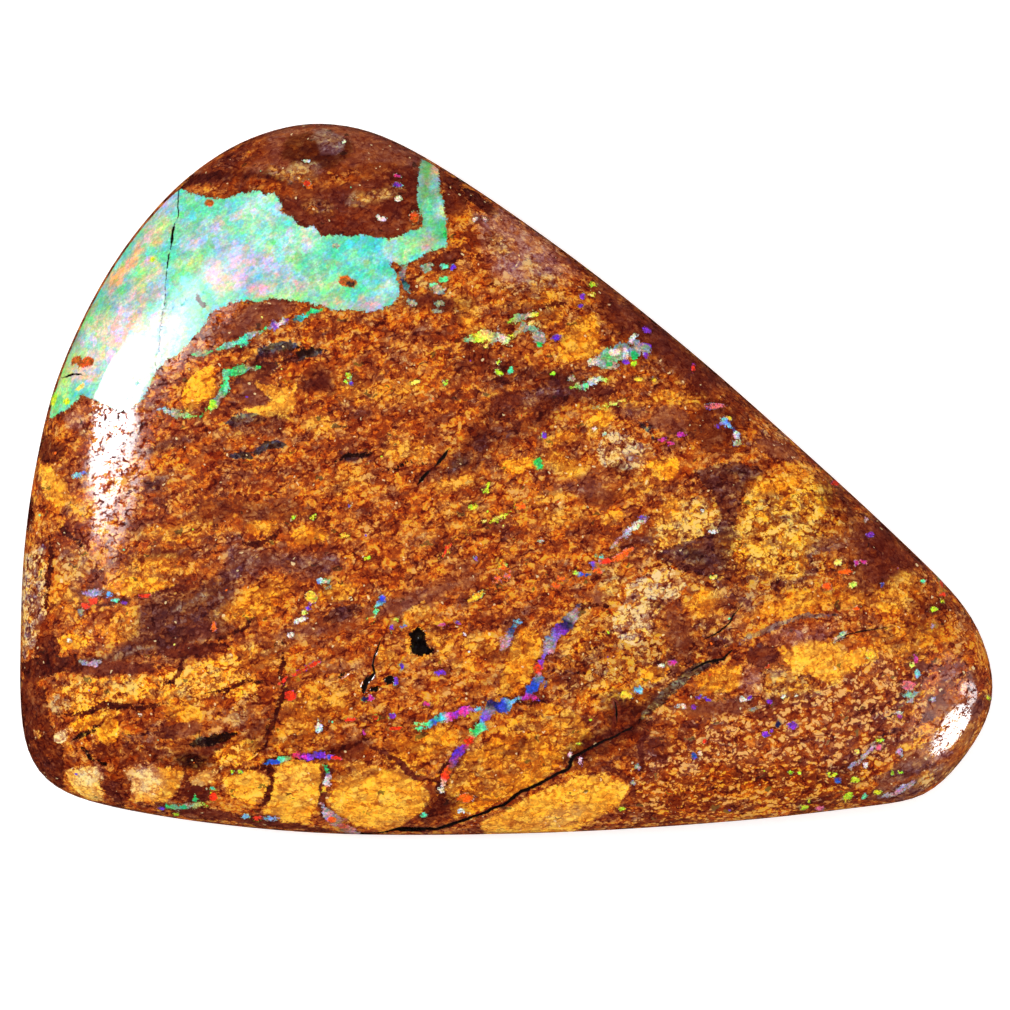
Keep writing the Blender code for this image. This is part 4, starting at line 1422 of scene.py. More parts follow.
def crack_taper(along: np.ndarray) -> np.ndarray:
    """How a crack narrows towards its two ends."""
    return np.clip(5.0 * along * (1.0 - along), 0.25, 1.0) ** 0.5


@dataclass
class StonePainter:
    """Writes the marks on the stone's vertices, for the finish to read."""

    stone: bpy.types.Object
    face_low: float = 0.7 * MM
    face_high: float = 1.2 * MM
    seam_bottom: float = 2.2 * MM
    seam_rise: float = 0.3 * MM
    deepest_px: float = 14.0
    spread_px: float = 5.0
    seam_deepest_px: float = 20.0
    vein_margin_px: float = 3.0
    fleck_margin_px: float = 0.8
    crack_reach_px: float = 60.0
    points: np.ndarray = field(init=False)
    points_px: np.ndarray = field(init=False)
    face: np.ndarray = field(init=False)

    def __post_init__(self) -> None:
        """Read the stone's vertices and where they lie under the view from above."""
        self.points = mesh_points(self.stone.data)
        self.points_px = PLANE.to_px(self.points)
        self.face = smooth_step(self.points[:, 2], self.face_low, self.face_high)

    def paint(self) -> None:
        """Write every layer of marks."""
        ground, light, dark, texture = self._ground()
        play, thin = self._play()
        self._write("ground", np.concatenate([ground, texture[:, :1]], axis=1))
        self._write("light", light)
        self._write("dark", dark)
        self._write("play", play)
        self._write("lines", self._lines(texture[:, 1]))
        self._write("thin", np.tile(thin[:, None], (1, 4)))

    def _write(self, name: str, values: np.ndarray) -> None:
        """Store four values a vertex as a colour attribute."""
        layer = self.stone.data.color_attributes.new(name, "FLOAT_COLOR", "POINT")
        layer.data.foreach_set("color", values.astype(np.float32).ravel())

    def _ground(self) -> tuple[np.ndarray, ...]:
        """Mix the soft grounds, and gather the hard-edged light and dark marks on them.

        Returns:
            The ground's colour; colour and depth of the light marks; the same of the dark
            ones; graininess and flakiness. Depths are in pixels, and below 0 outside.
        """
        cloudy = wander(wander(wander(self.points_px, 5.0, 30.0, 3), 2.6, 10.0, 5), 1.6, 4.5, 7)
        crisp = crisp_plane(self.points_px)
        count = len(self.points)
        colours = [np.tile(Ground.ORANGE.colour(), (count, 1)) for _ in range(3)]
        depths = [np.full(count, -self.deepest_px) for _ in range(3)]
        texture = np.tile(Ground.ORANGE.texture(), (count, 1))
        for mark in GROUND_MARKS:
            share = (mark.cover(crisp if mark.is_crisp() else cloudy) * self.face)[:, None]
            tint = mark.ground.colour()
            texture = texture * (1.0 - share) + mark.ground.texture() * share
            if not mark.is_crisp():
                colours = [colour * (1.0 - share) + tint * share for colour in colours]
                continue
            depth = np.where(self.face > 0.5, mark.depth(crisp), -self.deepest_px)
            own, other = (1, 2) if mark.ground.is_light() else (2, 1)
            colours[own] = np.where((depth > -self.spread_px)[:, None], tint, colours[own])
            depths[own] = np.maximum(depths[own], depth)
            depths[other] = np.minimum(depths[other], -depth)
        layers = [
            np.concatenate([colour, np.clip(depth, -self.deepest_px, self.deepest_px)[:, None]], axis=1)
            for colour, depth in zip(colours, depths)
        ]
        return colours[0], layers[1], layers[2], texture

    def _play(self) -> tuple[np.ndarray, np.ndarray]:
        """Opal colour with its depth in pixels, and where it is a thin vein or a fleck.

        Returns:
            Colour and depth at each vertex; 1 at each vertex of a thin mark.
        """
        ragged = wander(self.points_px, 1.2, 6.0, 11)
        cloudy = wander(wander(self.points_px, 6.0, 22.0, 13), 3.0, 8.0, 15)
        depth = depth_in_loop(ragged, SEAM_PX)
        lift = smooth_step(self.points[:, 2], self.seam_bottom, self.seam_bottom + self.seam_rise)
        depth = depth * lift - 6.0 * (1.0 - lift)
        thin = np.zeros(len(self.points))
        colour = np.tile(np.array(linear(Play.TEAL.value)), (len(self.points), 1))
        for cloud in CLOUDS:
            share = cloud.cover(cloudy)[:, None]
            colour = colour * (1.0 - share) + np.array(linear(cloud.colour.value)) * share
        lumps = 1.0 + 0.75 * cell_noise(self.points_px / 6.0, 31)
        drift = 0.05 * cell_noise(self.points_px / 4.0, 33)
        for vein in VEINS:
            gap, _, along = route_gaps(ragged, vein.route)
            half = vein.half_width * lumps * np.clip(6.0 * along * (1.0 - along), 0.4, 1.0)
            inside = half - gap
            places = np.clip(along + drift, 0.0, 1.0)
            stops = np.linspace(0.0, 1.0, len(vein.colours))
            codes = np.array([linear(c.value) for c in vein.colours])
            here = np.stack([np.interp(places, stops, codes[:, i]) for i in range(3)], axis=1)
            colour = np.where((inside > depth)[:, None], here, colour)
            thin = np.where(inside > np.maximum(depth, -self.vein_margin_px), 1.0, thin)
            depth = np.maximum(depth, inside)
        for flecks in FLECKS:
            tint = np.array(linear(flecks.colour.value))
            for x, y, long, wide, *turn in flecks.spots:
                along, across = turned_gap(ragged, x, y, turn[0] if turn else 0.0)
                inside = (0.95 - np.hypot(along / long, across / wide)) * min(long, wide) * 1.2
                own = inside > -self.fleck_margin_px
                colour = np.where(own[:, None], tint, colour)
                thin = np.where(own, 1.0, thin)
                depth = np.maximum(depth, inside)
        depth = np.where(self.face > 0.5, depth, -self.seam_deepest_px)
        depth = np.clip(depth, -self.seam_deepest_px, self.seam_deepest_px)
        return np.concatenate([colour, depth[:, None]], axis=1), thin

    def _lines(self, flaky: np.ndarray) -> np.ndarray:
        """Signed offset from the nearest crack, its distance and half width, and flakiness.

        Args:
            flaky: Flakiness of the ground at each vertex.

        Returns:
            Four values a vertex.
        """
        count = len(self.points)
        ragged = crack_plane(self.points_px)
        nearest = np.full(count, self.crack_reach_px)
        signed = np.full(count, self.crack_reach_px)
        half = np.zeros(count)
        for crack in CRACKS:
            gap, side, along = route_gaps(ragged, crack.route)
            width = crack.half_width * crack_taper(along)
            closer = gap - width < nearest - half
            nearest = np.where(closer, gap, nearest)
            signed = np.where(closer, side, signed)
            half = np.where(closer, width, half)
        nearest = np.where(self.face > 0.5, nearest, self.crack_reach_px)
        return np.stack([signed, nearest, half, flaky], axis=1)


@dataclass
class Wiring:
    """Adds nodes to one tree and joins them, so that a finish reads as a recipe."""

    tree: bpy.types.NodeTree

    def add(self, kind: str, **settings: object) -> bpy.types.Node:
        """Add a node of a kind, with its own settings.

        Args:
            kind: Type of the node.
            settings: Values for the node's attributes.

        Returns:
            The node.
        """
        node = self.tree.nodes.new(kind)
        for name, value in settings.items():
            setattr(node, name, value)
        return node

    def feed(self, socket: Socket, source: Union[Feed, Colour]) -> None:
        """Give an input a link or a plain value.

        Args:
            socket: The input.
            source: An output, a number or a colour.
        """
        if isinstance(source, bpy.types.NodeSocket):
            self.tree.links.new(source, socket)
        elif isinstance(source, tuple):
            socket.default_value = (*source, 1.0) if len(socket.default_value) == 4 else source
        else:
            socket.default_value = source

    def mark(self, name: str) -> bpy.types.Node:
        """Node that reads one layer of the painted marks."""
        return self.add("ShaderNodeAttribute", attribute_name=name)

    def sum(self, operation: str, *terms: Feed) -> Socket:
        """Result of one Math node.

        Args:
            operation: What the node does.
            terms: Its inputs in order.

        Returns:
            The result.
        """
        node = self.add("ShaderNodeMath", operation=operation)
        for socket, term in zip(node.inputs, terms):
            self.feed(socket, term)
        return node.outputs[0]

    def total(self, base: Feed, *parts: tuple[Socket, float]) -> Socket:
        """Sum of a base and of weighted parts.

        Args:
            base: What the sum starts from.
            parts: Outputs, each with its weight.

        Returns:
            The sum.
        """
        for part, weight in parts:
            base = self.sum("MULTIPLY_ADD", part, weight, base)
        return base

    def vector(self, operation: str, *terms: Union[Socket, Colour]) -> Socket:
        """Result of one Vector Math node.

        Args:
            operation: What the node does.
            terms: Its inputs in order.

        Returns:
            The result.
        """
        node = self.add("ShaderNodeVectorMath", operation=operation)
        for socket, term in zip(node.inputs, terms):
            self.feed(socket, term)
        return node.outputs[0]

    def scaled(self, vector: Union[Socket, Colour], factor: Feed) -> Socket:
        """A vector times a number.

        Args:
            vector: A vector or a colour.
            factor: The number.

        Returns:
            The product.
        """
        node = self.add("ShaderNodeVectorMath", operation="SCALE")
        self.feed(node.inputs[0], vector)
        self.feed(node.inputs["Scale"], factor)
        return node.outputs[0]

    def apart(self, kind: str, whole: Socket) -> Sequence[Socket]:
        """The three parts of a vector or a colour.

        Args:
            kind: Type of the node that takes it apart.
            whole: The vector or colour.

        Returns:
            Its parts in order.
        """
        node = self.add(kind)
        self.feed(node.inputs[0], whole)
        return node.outputs

    def power_of_e(self, vector: Socket) -> Socket:
        """Each part of a vector as an exponent of e.

        Args:
            vector: The exponents.

        Returns:
            The powers as a vector.
        """
        whole = self.add("ShaderNodeCombineXYZ")
        for source, target in zip(self.apart("ShaderNodeSeparateXYZ", vector), whole.inputs):
            self.feed(target, self.sum("EXPONENT", source))
        return whole.outputs[0]

    def blend(self, share: Feed, under: Union[Socket, Colour], over: Union[Socket, Colour]) -> Socket:
        """Colour between two others.

        Args:
            share: 0 for the first colour, 1 for the second.
            under: First colour.
            over: Second colour.

        Returns:
            The mixed colour.
        """
        node = self.add("ShaderNodeMix", data_type="RGBA")
        self.feed(node.inputs["Factor"], share)
        self.feed(node.inputs[6], under)
        self.feed(node.inputs[7], over)
        return node.outputs[2]

    def step(self, value: Feed, low: float, high: float) -> Socket:
        """Smooth rise from 0 at low to 1 at high.

        Args:
            value: What rises.
            low: Where the result is 0.
            high: Where it is 1.

        Returns:
            The result.
        """
        node = self.add("ShaderNodeMapRange", interpolation_type="SMOOTHSTEP")
        self.feed(node.inputs["Value"], value)
        node.inputs["From Min"].default_value = low
        node.inputs["From Max"].default_value = high
        return node.outputs["Result"]

    def ramp(self, value: Feed, stops: Sequence[tuple[float, str]], smooth: bool = True) -> Socket:
        """Colour ramp through hex codes at places from 0 to 1, smooth or in steps.

        Args:
            value: Place on the ramp.
            stops: Places, each with its code.
            smooth: Whether colours run into each other.

        Returns:
            The colour.
        """
        node = self.add("ShaderNodeValToRGB")
        node.color_ramp.interpolation = "LINEAR" if smooth else "CONSTANT"
        points = node.color_ramp.elements
        while len(points) < len(stops):
            points.new(0.5)
        for point, (place, code) in zip(points, stops):
            point.position = place
            point.color = (*linear(code), 1.0)
        self.feed(node.inputs["Fac"], value)
        return node.outputs["Color"]

    def place(self, stretch: tuple[float, float, float], turn: float) -> Socket:
        """Object coordinates in millimetres, turned about Z and then stretched.

        Args:
            stretch: Factor along each axis.
            turn: Degrees about Z.

        Returns:
            The coordinates.
        """
        spot = self.add("ShaderNodeTexCoord")
        turned = self.add("ShaderNodeMapping")
        self.feed(turned.inputs["Vector"], spot.outputs["Object"])
        turned.inputs["Rotation"].default_value = (0.0, 0.0, -math.radians(turn))
        sized = self.add("ShaderNodeMapping")
        self.feed(sized.inputs["Vector"], turned.outputs["Vector"])
        sized.inputs["Scale"].default_value = tuple(s / MM for s in stretch)
        return sized.outputs["Vector"]

    def even(self) -> Socket:
        """Object coordinates in millimetres as they are."""
        return self.place((1.0, 1.0, 1.0), 0.0)

    def cells(self, place: Socket, scale: float) -> bpy.types.Node:
        """Voronoi texture node.

        Args:
            place: Coordinates.
            scale: Cells a millimetre.

        Returns:
            The node.
        """
        node = self.add("ShaderNodeTexVoronoi", feature="F1")
        self.feed(node.inputs["Vector"], place)
        node.inputs["Scale"].default_value = scale
        return node

    def noise(self, place: Socket, scale: float, detail: float, rough: float) -> bpy.types.Node:
        """Noise texture node.

        Args:
            place: Coordinates.
            scale: Cells a millimetre.
            detail: Number of finer layers.
            rough: Share that each finer layer keeps.

        Returns:
            The node.
        """
        node = self.add("ShaderNodeTexNoise")
        self.feed(node.inputs["Vector"], place)
        node.inputs["Scale"].default_value = scale
        node.inputs["Detail"].default_value = detail
        node.inputs["Roughness"].default_value = rough
        return node

    def level(self, place: Socket, scale: float, detail: float, rough: float) -> Socket:
        """Noise around 0, from about -0.5 to 0.5."""
        return self.sum("SUBTRACT", self.noise(place, scale, detail, rough).outputs["Fac"], 0.5)

    def tints(self, place: Socket, scale: float, detail: float, rough: float) -> Socket:
        """Three separate noises around 0 as one vector."""
        node = self.noise(place, scale, detail, rough)
        return self.vector("SUBTRACT", node.outputs["Color"], (0.5, 0.5, 0.5))


@dataclass(frozen=True)
class Grains:
    """What one size of grain gives at a spot.

    Its lightness and hue lie around 0, its body is 1 inside the grain and 0 between
    grains, and its pick is a number from 0 to 1 that singles out some of the grains.
    """

    light: Socket
    hue: Socket
    body: Socket
    pick: Socket


@dataclass(frozen=True)
class StoneFinish:
    """Polished ironstone with opal: grainy grounds, opal over them, and dark cracks."""

    name: str = "ironstone_opal"
    grain_turn: float = 24.0
    light_reach: Colour = (0.95, 1.78, 1.70)
    hue_reach: Colour = (-0.26, -0.10, 0.62)
    headroom: Colour = (0.36, 0.235, 0.07)
    ceiling_share: Colour = (0.82, 0.82, 0.82)
    # Share of the finest grains painted pale as glints, specks of painted highlight
    painted_glint_from: float = 0.988
    hole_from: float = 0.968
    mark_strength: float = 0.75
    crack_colour: str = "120705"
    margin_colour: str = "3A140A"
    settle: Colour = (0.10, -0.12, -0.62)
    polish_roughness: float = 0.08
    opal_settle: Colour = (0.12, -0.12, -0.26)
    # Colour of the painted glints, small specks of highlight in the base colour
    painted_glint_colour: str = "F2D49A"
    hole_colour: str = "200C08"
    fire: tuple[tuple[float, str], ...] = (
        (0.0, "B8EC30"),
        (0.28, "F4EE6A"),
        (0.42, "F4681C"),
        (0.60, "DE3A1C"),
        (0.70, "6A34CC"),
        (0.84, "5FE8A8"),
        (0.93, "DCE6E2"),
    )

    def build(self) -> bpy.types.Material:
        """Make the material.

        Returns:
            The material.
        """
        material = bpy.data.materials.new(self.name)
        material.use_nodes = True
        wiring = Wiring(material.node_tree)
        shader = material.node_tree.nodes["Principled BSDF"]
        play = wiring.mark("play")
        lines = wiring.mark("lines")
        tick = self._ticks(wiring)
        stone = self._fire(wiring, self._stone(wiring, lines, tick))
        opal_share, opal, margin = self._opal(wiring, play)
        stone = wiring.blend(wiring.sum("MULTIPLY", margin, 0.4), stone, linear(self.margin_colour))
        colour = wiring.blend(opal_share, stone, opal)
        colour = wiring.blend(self._crack(wiring, lines), colour, linear(self.crack_colour))
        wiring.feed(shader.inputs["Base Color"], colour)
        pitted = self._pitted(wiring, wiring.sum("SUBTRACT", 1.0, opal_share), tick)
        wiring.feed(shader.inputs["Roughness"], wiring.sum("MULTIPLY_ADD", pitted, 0.3, 0.4))
        shader.inputs["Specular IOR Level"].default_value = 0.04
        wiring.feed(shader.inputs["Coat Weight"], wiring.sum("SUBTRACT", 1.0, pitted))
        shader.inputs["Coat Roughness"].default_value = self.polish_roughness
        shader.inputs["Coat IOR"].default_value = 1.55
        bump = wiring.add("ShaderNodeBump")
        bump.inputs["Strength"].default_value = 0.5
        bump.inputs["Distance"].default_value = 0.01 * MM
        wiring.feed(bump.inputs["Height"], wiring.sum("MULTIPLY", pitted, -1.0))
        wiring.feed(shader.inputs["Normal"], bump.outputs["Normal"])
        return material

    def _ticks(self, wiring: Wiring) -> Socket:
        """Short curved creases in the ironstone, 1 inside them.

        Args:
            wiring: Adder of nodes for this finish.

        Returns:
            1 in a crease and 0 beside it.
        """
        even = wiring.even()
        slant = wiring.place((0.7, 1.0, 1.0), self.grain_turn)
        curl = wiring.sum("ABSOLUTE", wiring.level(slant, 2.7, 2.0, 0.4))
        crease = wiring.step(curl, 0.055, 0.02)
        gaps = wiring.step(wiring.level(even, 3.1, 2.0, 0.7), -0.02, 0.04)
        return wiring.sum("MULTIPLY", crease, gaps)

    def _pitted(self, wiring: Wiring, stone_share: Socket, tick: Socket) -> Socket:
        """Share of the surface where grains have torn out, mostly from the ironstone.

        Args:
            wiring: Adder of nodes for this finish.
            stone_share: 1 on ironstone and 0 on opal.
            tick: Creases, 1 inside them.

        Returns:
            Share from 0 to 1.
        """
        streak = wiring.place((0.7, 1.0, 1.0), self.grain_turn)
        wide = wiring.level(streak, 0.9, 2.0, 0.8)
        tight = wiring.level(streak, 6.0, 3.0, 0.9)
        torn = wiring.sum("MULTIPLY_ADD", wide, 0.6, tight)
        torn = wiring.sum("MULTIPLY_ADD", stone_share, 0.10, torn)
        pits = wiring.step(torn, 0.13, 0.16)
        return wiring.sum("MAXIMUM", pits, wiring.sum("MULTIPLY", tick, stone_share))

    def _grains(self, wiring: Wiring, place: Socket, scale: float) -> Grains:
        """Small grains with a dark rim, each of its own lightness and hue.

        Args:
            wiring: Adder of nodes for this finish.
            place: Coordinates.
            scale: Cells a millimetre.

        Returns:
            What the grains give.
        """
        cells = wiring.cells(place, scale)
        random, tint, pick = wiring.apart("ShaderNodeSeparateColor", cells.outputs["Color"])
        rim = wiring.sum("SUBTRACT", 0.42, cells.outputs["Distance"])
        light = wiring.sum("SUBTRACT", random, 0.5)
        body = wiring.step(wiring.sum("MULTIPLY_ADD", light, 0.35, rim), -0.02, 0.08)
        light = wiring.sum("MULTIPLY_ADD", rim, 0.9, light)
        return Grains(light, wiring.sum("SUBTRACT", tint, 0.5), body, pick)

    def _stone(self, wiring: Wiring, lines: bpy.types.Node, tick: Socket) -> Socket:
        """Colour of the ironstone: ground, hard-edged marks, islands and grains, with painted highlight
        specks.

        Args:
            wiring: Adder of nodes for this finish.
            lines: Node of the cracks and the flakiness.
            tick: Creases, 1 inside them.

        Returns:
            The colour.
        """
        ground = wiring.mark("ground")
        light = wiring.mark("light")
        dark = wiring.mark("dark")
        even = wiring.even()
        streak = wiring.place((0.5, 1.0, 1.0), self.grain_turn)
        flat = wiring.place((0.6, 1.0, 1.0), 8.0)
        fine = wiring.level(even, 5.2, 2.0, 1.0)
        broad = wiring.level(streak, 0.6, 3.0, 0.9)
        small = wiring.level(streak, 1.9, 2.0, 0.8)
        smoky = wiring.level(streak, 1.0, 2.0, 0.8)
        warp = wiring.tints(even, 2.2, 2.0, 0.7)
        bent = wiring.vector("ADD", even, wiring.scaled(warp, 0.35))
        bent_flat = wiring.vector("ADD", flat, wiring.scaled(warp, 0.75))
        coarse = self._grains(wiring, bent, 2.3)
        rice = self._grains(wiring, bent_flat, 4.7)
        dust = self._grains(wiring, bent, 9.5)

        edge = wiring.sum("MULTIPLY", wiring.sum("ADD", fine, smoky), 8.0)
        colour = ground.outputs["Color"]
        share = wiring.step(wiring.sum("ADD", light.outputs["Alpha"], edge), -0.8, 0.8)
        colour = wiring.blend(share, colour, light.outputs["Color"])
        share = wiring.step(wiring.sum("SUBTRACT", dark.outputs["Alpha"], edge), -0.8, 0.8)
        colour = wiring.blend(share, colour, dark.outputs["Color"])

        isle = wiring.step(wiring.sum("MULTIPLY_ADD", fine, 0.5, broad), -0.03, 0.03)
        isle = wiring.sum("SUBTRACT", isle, 0.5)
        islet = wiring.step(wiring.sum("MULTIPLY_ADD", fine, 0.5, small), 0.0, 0.05)
        islet = wiring.sum("SUBTRACT", islet, 0.4)
        smoke = wiring.step(wiring.sum("MULTIPLY_ADD", fine, 0.3, smoky), 0.05, 0.10)
        flaky = lines.outputs["Alpha"]

        grain = wiring.sum("MULTIPLY", fine, 0.75)
        parts = ((broad, 0.65), (tick, -1.1), (isle, 0.36), (islet, 0.38), (smoke, -0.10))
        grain = wiring.total(grain, *parts)
        grain = wiring.sum("MULTIPLY", grain, wiring.total(1.0, (flaky, -0.15)))
        grain = wiring.total(grain, (coarse.light, 0.35), (rice.light, 0.75))
        speckle = wiring.sum("MULTIPLY", dust.light, wiring.total(0.42, (flaky, -0.15)))
        grain = wiring.sum("ADD", grain, speckle)
        flakes = wiring.sum("MULTIPLY_ADD", rice.body, 0.8, -0.36)
        grain = wiring.sum("MULTIPLY_ADD", flakes, wiring.sum("ADD", flaky, 0.35), grain)
        grain = wiring.sum("ADD", grain, 0.025)

        hue = wiring.sum("MULTIPLY", wiring.apart("ShaderNodeSeparateXYZ", warp)[2], 1.6)
        parts = ((coarse.hue, 0.9), (rice.hue, 1.8), (dust.hue, 0.5), (smoke, 0.9), (isle, -0.5))
        hue = wiring.total(hue, *parts)

        change = wiring.vector("ADD", wiring.scaled(self.light_reach, grain), self.settle)
        change = wiring.vector("ADD", change, wiring.scaled(self.hue_reach, hue))
        change = wiring.scaled(change, ground.outputs["Alpha"])
        ceiling = wiring.vector("MULTIPLY_ADD", colour, self.ceiling_share, self.headroom)
        colour = wiring.vector("MULTIPLY", colour, wiring.power_of_e(change))
        colour = wiring.vector("MINIMUM", colour, ceiling)
        # Painted highlights: the rarest fine grains take the pale glint colour as specks of reflected light;
        # the rarest rice grains take the dark hole colour
        for grains, start, width, code in (
            (dust, self.painted_glint_from, 0.002, self.painted_glint_colour),
            (rice, self.hole_from, 0.004, self.hole_colour),
        ):
            share = wiring.step(grains.pick, start, start + width)
            share = wiring.sum("MULTIPLY", wiring.sum("MULTIPLY", share, grains.body), self.mark_strength)
            colour = wiring.blend(share, colour, linear(code))
        return colour

    def _fire(self, wiring: Wiring, stone: Socket) -> Socket:
        """Scatter tiny sparks of opal over the ironstone.

        Args:
            wiring: Adder of nodes for this finish.
            stone: Colour of the ironstone.

        Returns:
            The colour with its sparks.
        """
        even = wiring.place((1.0, 1.0, 0.2), 0.0)
        shaken = wiring.vector("ADD", even, wiring.scaled(wiring.tints(even, 5.0, 1.0, 0.5), 0.12))
        cells = wiring.cells(shaken, 1.5)
        chosen, tint, size = wiring.apart("ShaderNodeSeparateColor", cells.outputs["Color"])
        radius = wiring.total(0.035, (size, 0.05))
        inside = wiring.sum("SUBTRACT", radius, cells.outputs["Distance"])
        share = wiring.step(inside, -0.02, 0.02)
        share = wiring.sum("MULTIPLY", share, wiring.sum("GREATER_THAN", chosen, 0.72))
        return wiring.blend(share, stone, wiring.ramp(tint, self.fire, smooth=False))

    def _opal(self, wiring: Wiring, play: bpy.types.Node) -> tuple[Socket, Socket, Socket]:
        """Share and colour of the opal with its fine play of colour, and its dark margin.

        Args:
            wiring: Adder of nodes for this finish.
            play: Node of the opal's colour and depth.

        Returns:
            Share, colour and margin.
        """
        even = wiring.even()
        slant = wiring.place((0.7, 1.2, 1.0), 38.0)
        edge = wiring.level(even, 8.0, 3.0, 0.8)
        thin = wiring.mark("thin").outputs["Fac"]
        ragged = wiring.total(11.0, (thin, 2.0))
        depth = wiring.sum("MULTIPLY_ADD", edge, ragged, play.outputs["Alpha"])
        share = wiring.step(depth, -0.5, 0.5)
        margin = wiring.step(depth, -4.5, -0.5)
        hues = wiring.tints(slant, 2.2, 2.0, 1.0)
        small_hues = wiring.tints(slant, 5.0, 2.0, 0.9)
        spark = wiring.tints(even, 11.0, 1.0, 1.0)
        light = wiring.level(even, 9.0, 1.0, 1.0)
        shaken = wiring.vector("ADD", even, wiring.scaled(small_hues, 0.25))
        cells = wiring.cells(shaken, 3.4)
        facets = wiring.vector("SUBTRACT", cells.outputs["Color"], (0.5, 0.5, 0.5))
        dazzle = wiring.sum("MULTIPLY", light, wiring.total(0.8, (thin, 1.6)))
        swing = wiring.vector("MULTIPLY", hues, (2.4, 1.0, 1.9))
        for part in (
            wiring.vector("MULTIPLY", facets, (0.7, 0.28, 0.65)),
            wiring.vector("MULTIPLY", small_hues, (1.5, 0.4, 1.2)),
            self.opal_settle,
            wiring.scaled(spark, wiring.total(0.8, (thin, 0.8))),
            wiring.scaled((1.0, 1.0, 1.0), dazzle),
        ):
            swing = wiring.vector("ADD", swing, part)
        colour = wiring.vector("MULTIPLY", play.outputs["Color"], wiring.power_of_e(swing))
        return share, wiring.vector("MINIMUM", colour, (0.95, 0.95, 0.95)), margin

    def _crack(self, wiring: Wiring, lines: bpy.types.Node) -> Socket:
        """Share of the cracks' dark fill.

        Args:
            wiring: Adder of nodes for this finish.
            lines: Node of the cracks.

        Returns:
            Share from 0 to 1.
        """
        signed, nearest, half = wiring.apart("ShaderNodeSeparateColor", lines.outputs["Color"])
        frayed = wiring.sum("MULTIPLY", wiring.level(wiring.even(), 7.0, 2.0, 0.7), 2.4)
        gap = wiring.sum("MAXIMUM", wiring.sum("ABSOLUTE", signed), wiring.sum("SUBTRACT", nearest, 2.0))
        return wiring.step(wiring.sum("ADD", wiring.sum("SUBTRACT", half, gap), frayed), -0.6, 0.6)


@dataclass(frozen=True)
class Softbox:
    """A soft light: where it stands, its size and its glare.

    Its turn goes round from +X, its tilt down from straight above, both in degrees. Its
    size is across and up, in metres, and its glare is in watts a square metre. A fill
    lights the stone without showing in the polish, and the others only show in it.
    """

    name: str
    turn: float
    tilt: float
    size: tuple[float, float]
    glare: float
    is_fill: bool = False
    distance: float = 0.5

    def build(self, target: Vector) -> None:
        """Stand the light round a target and face it.

        Args:
            target: Point that the light faces.
        """
        turn = math.radians(self.turn)
        tilt = math.radians(self.tilt)
        way = Vector(
            (math.sin(tilt) * math.cos(turn), math.sin(tilt) * math.sin(turn), math.cos(tilt))
        )
        data = bpy.data.lights.new(self.name, "AREA")
        data.shape = "RECTANGLE" if self.is_fill else "ELLIPSE"
        data.size, data.size_y = self.size
        data.energy = self.glare * data.size * data.size_y
        lamp = bpy.data.objects.new(self.name, data)
        lamp.location = target + way * self.distance
        lamp.rotation_euler = (-way).to_track_quat("-Z", "Y").to_euler()
        lamp.visible_glossy = not self.is_fill
        lamp.visible_diffuse = self.is_fill
        bpy.context.scene.collection.objects.link(lamp)


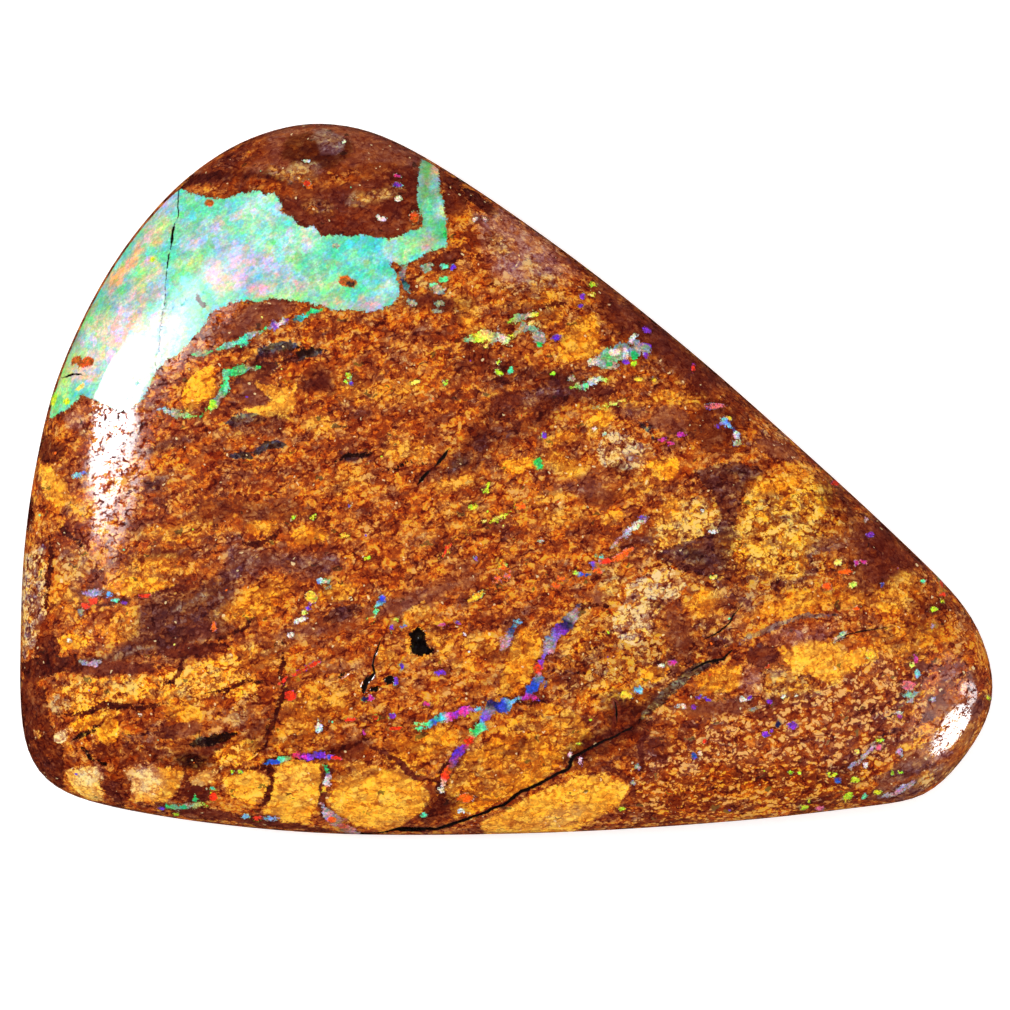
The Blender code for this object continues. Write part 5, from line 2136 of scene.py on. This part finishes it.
@dataclass
class Studio:
    """Plain pale floor, soft lights and the camera straight above."""

    floor_half: float = 0.6
    camera_height: float = 0.30
    girdle_height: float = GIRDLE_HEIGHT
    world_strength: float = 0.42
    lights: tuple[Softbox, ...] = (
        Softbox("left_band_end", 147, 42, (0.10, 0.11), 6),
        Softbox("left_band_upper", 154.5, 47.5, (0.085, 0.13), 12),
        Softbox("left_band_middle", 160.5, 48.5, (0.09, 0.155), 62),
        Softbox("left_band_lower", 166, 45, (0.08, 0.125), 62),
        Softbox("left_band_low", 171, 39.5, (0.065, 0.08), 50),
        Softbox("left_band_tail", 175, 34, (0.04, 0.06), 24),
        Softbox("left_haze", 141, 35, (0.16, 0.13), 9),
        Softbox("left_inner_haze", 149, 40, (0.13, 0.12), 10),
        Softbox("left_low_haze", 160, 40, (0.14, 0.14), 3),
        Softbox("right_band", -28, 69, (0.18, 0.23), 62),
        Softbox("right_haze", -16, 60, (0.40, 0.36), 2.8),
        Softbox("right_band_end", -10, 71, (0.12, 0.20), 26),
        Softbox("left_fill", 164, 42, (0.16, 0.22), 30, True),
        Softbox("right_fill", -30, 50, (0.20, 0.20), 14, True),
        Softbox("overhead_fill", 100, 12, (0.9, 0.9), 3.3, True, 0.7),
    )

    def build(self) -> None:
        """Make the floor, the light and the camera."""
        self._floor()
        self._world()
        for light in self.lights:
            light.build(Vector((0.0, 0.0, 0.0)))
        self._camera()

    def _floor(self) -> None:
        """Lay the floor under the stone."""
        bpy.ops.object.select_all(action="DESELECT")
        bpy.ops.mesh.primitive_plane_add(size=2.0 * self.floor_half, location=(0.0, 0.0, 0.0))
        floor = bpy.context.object
        floor.name = "pale_floor"
        material = bpy.data.materials.new("pale_floor")
        material.use_nodes = True
        shader = material.node_tree.nodes["Principled BSDF"]
        settings = {
            "Base Color": (0.93, 0.93, 0.93, 1.0),
            "Roughness": 0.9,
            "Specular IOR Level": 0.1,
            "Emission Color": (1.0, 1.0, 1.0, 1.0),
            "Emission Strength": 0.4,
        }
        for name, value in settings.items():
            shader.inputs[name].default_value = value
        floor.data.materials.append(material)
        floor.visible_glossy = False

    def _world(self) -> None:
        """Light everything evenly from all round."""
        scene = bpy.context.scene
        scene.world = bpy.data.worlds.new("studio")
        scene.world.use_nodes = True
        back = scene.world.node_tree.nodes["Background"]
        back.inputs["Color"].default_value = (1.0, 1.0, 1.0, 1.0)
        back.inputs["Strength"].default_value = self.world_strength
        scene.world.cycles_visibility.glossy = False
        scene.view_settings.view_transform = "Standard"

    def _camera(self) -> None:
        """Hang the camera over the middle of the view, with a long lens."""
        data = bpy.data.cameras.new("camera")
        data.sensor_width = 36.0
        reach = self.camera_height - self.girdle_height
        data.lens = data.sensor_width * reach / PLANE.field_width()
        data.clip_start = 0.01
        camera = bpy.data.objects.new("camera", data)
        middle = PLANE.image_px / 2.0
        camera.location = PLANE.place(middle, middle) + Vector((0.0, 0.0, self.camera_height))
        bpy.context.scene.collection.objects.link(camera)
        bpy.context.scene.camera = camera


def main() -> None:
    """Build the stone and its studio."""
    logging.basicConfig(level=logging.INFO, format="%(name)s: %(message)s")
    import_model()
    stone = StoneBody().build()
    log.info("%s: %d faces", stone.name, len(stone.data.polygons))
    StonePainter(stone).paint()
    stone.data.materials.append(StoneFinish().build())
    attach(stone, "root")
    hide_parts(STONE_NODE)
    Studio().build()


if __name__ == "__main__":
    main()
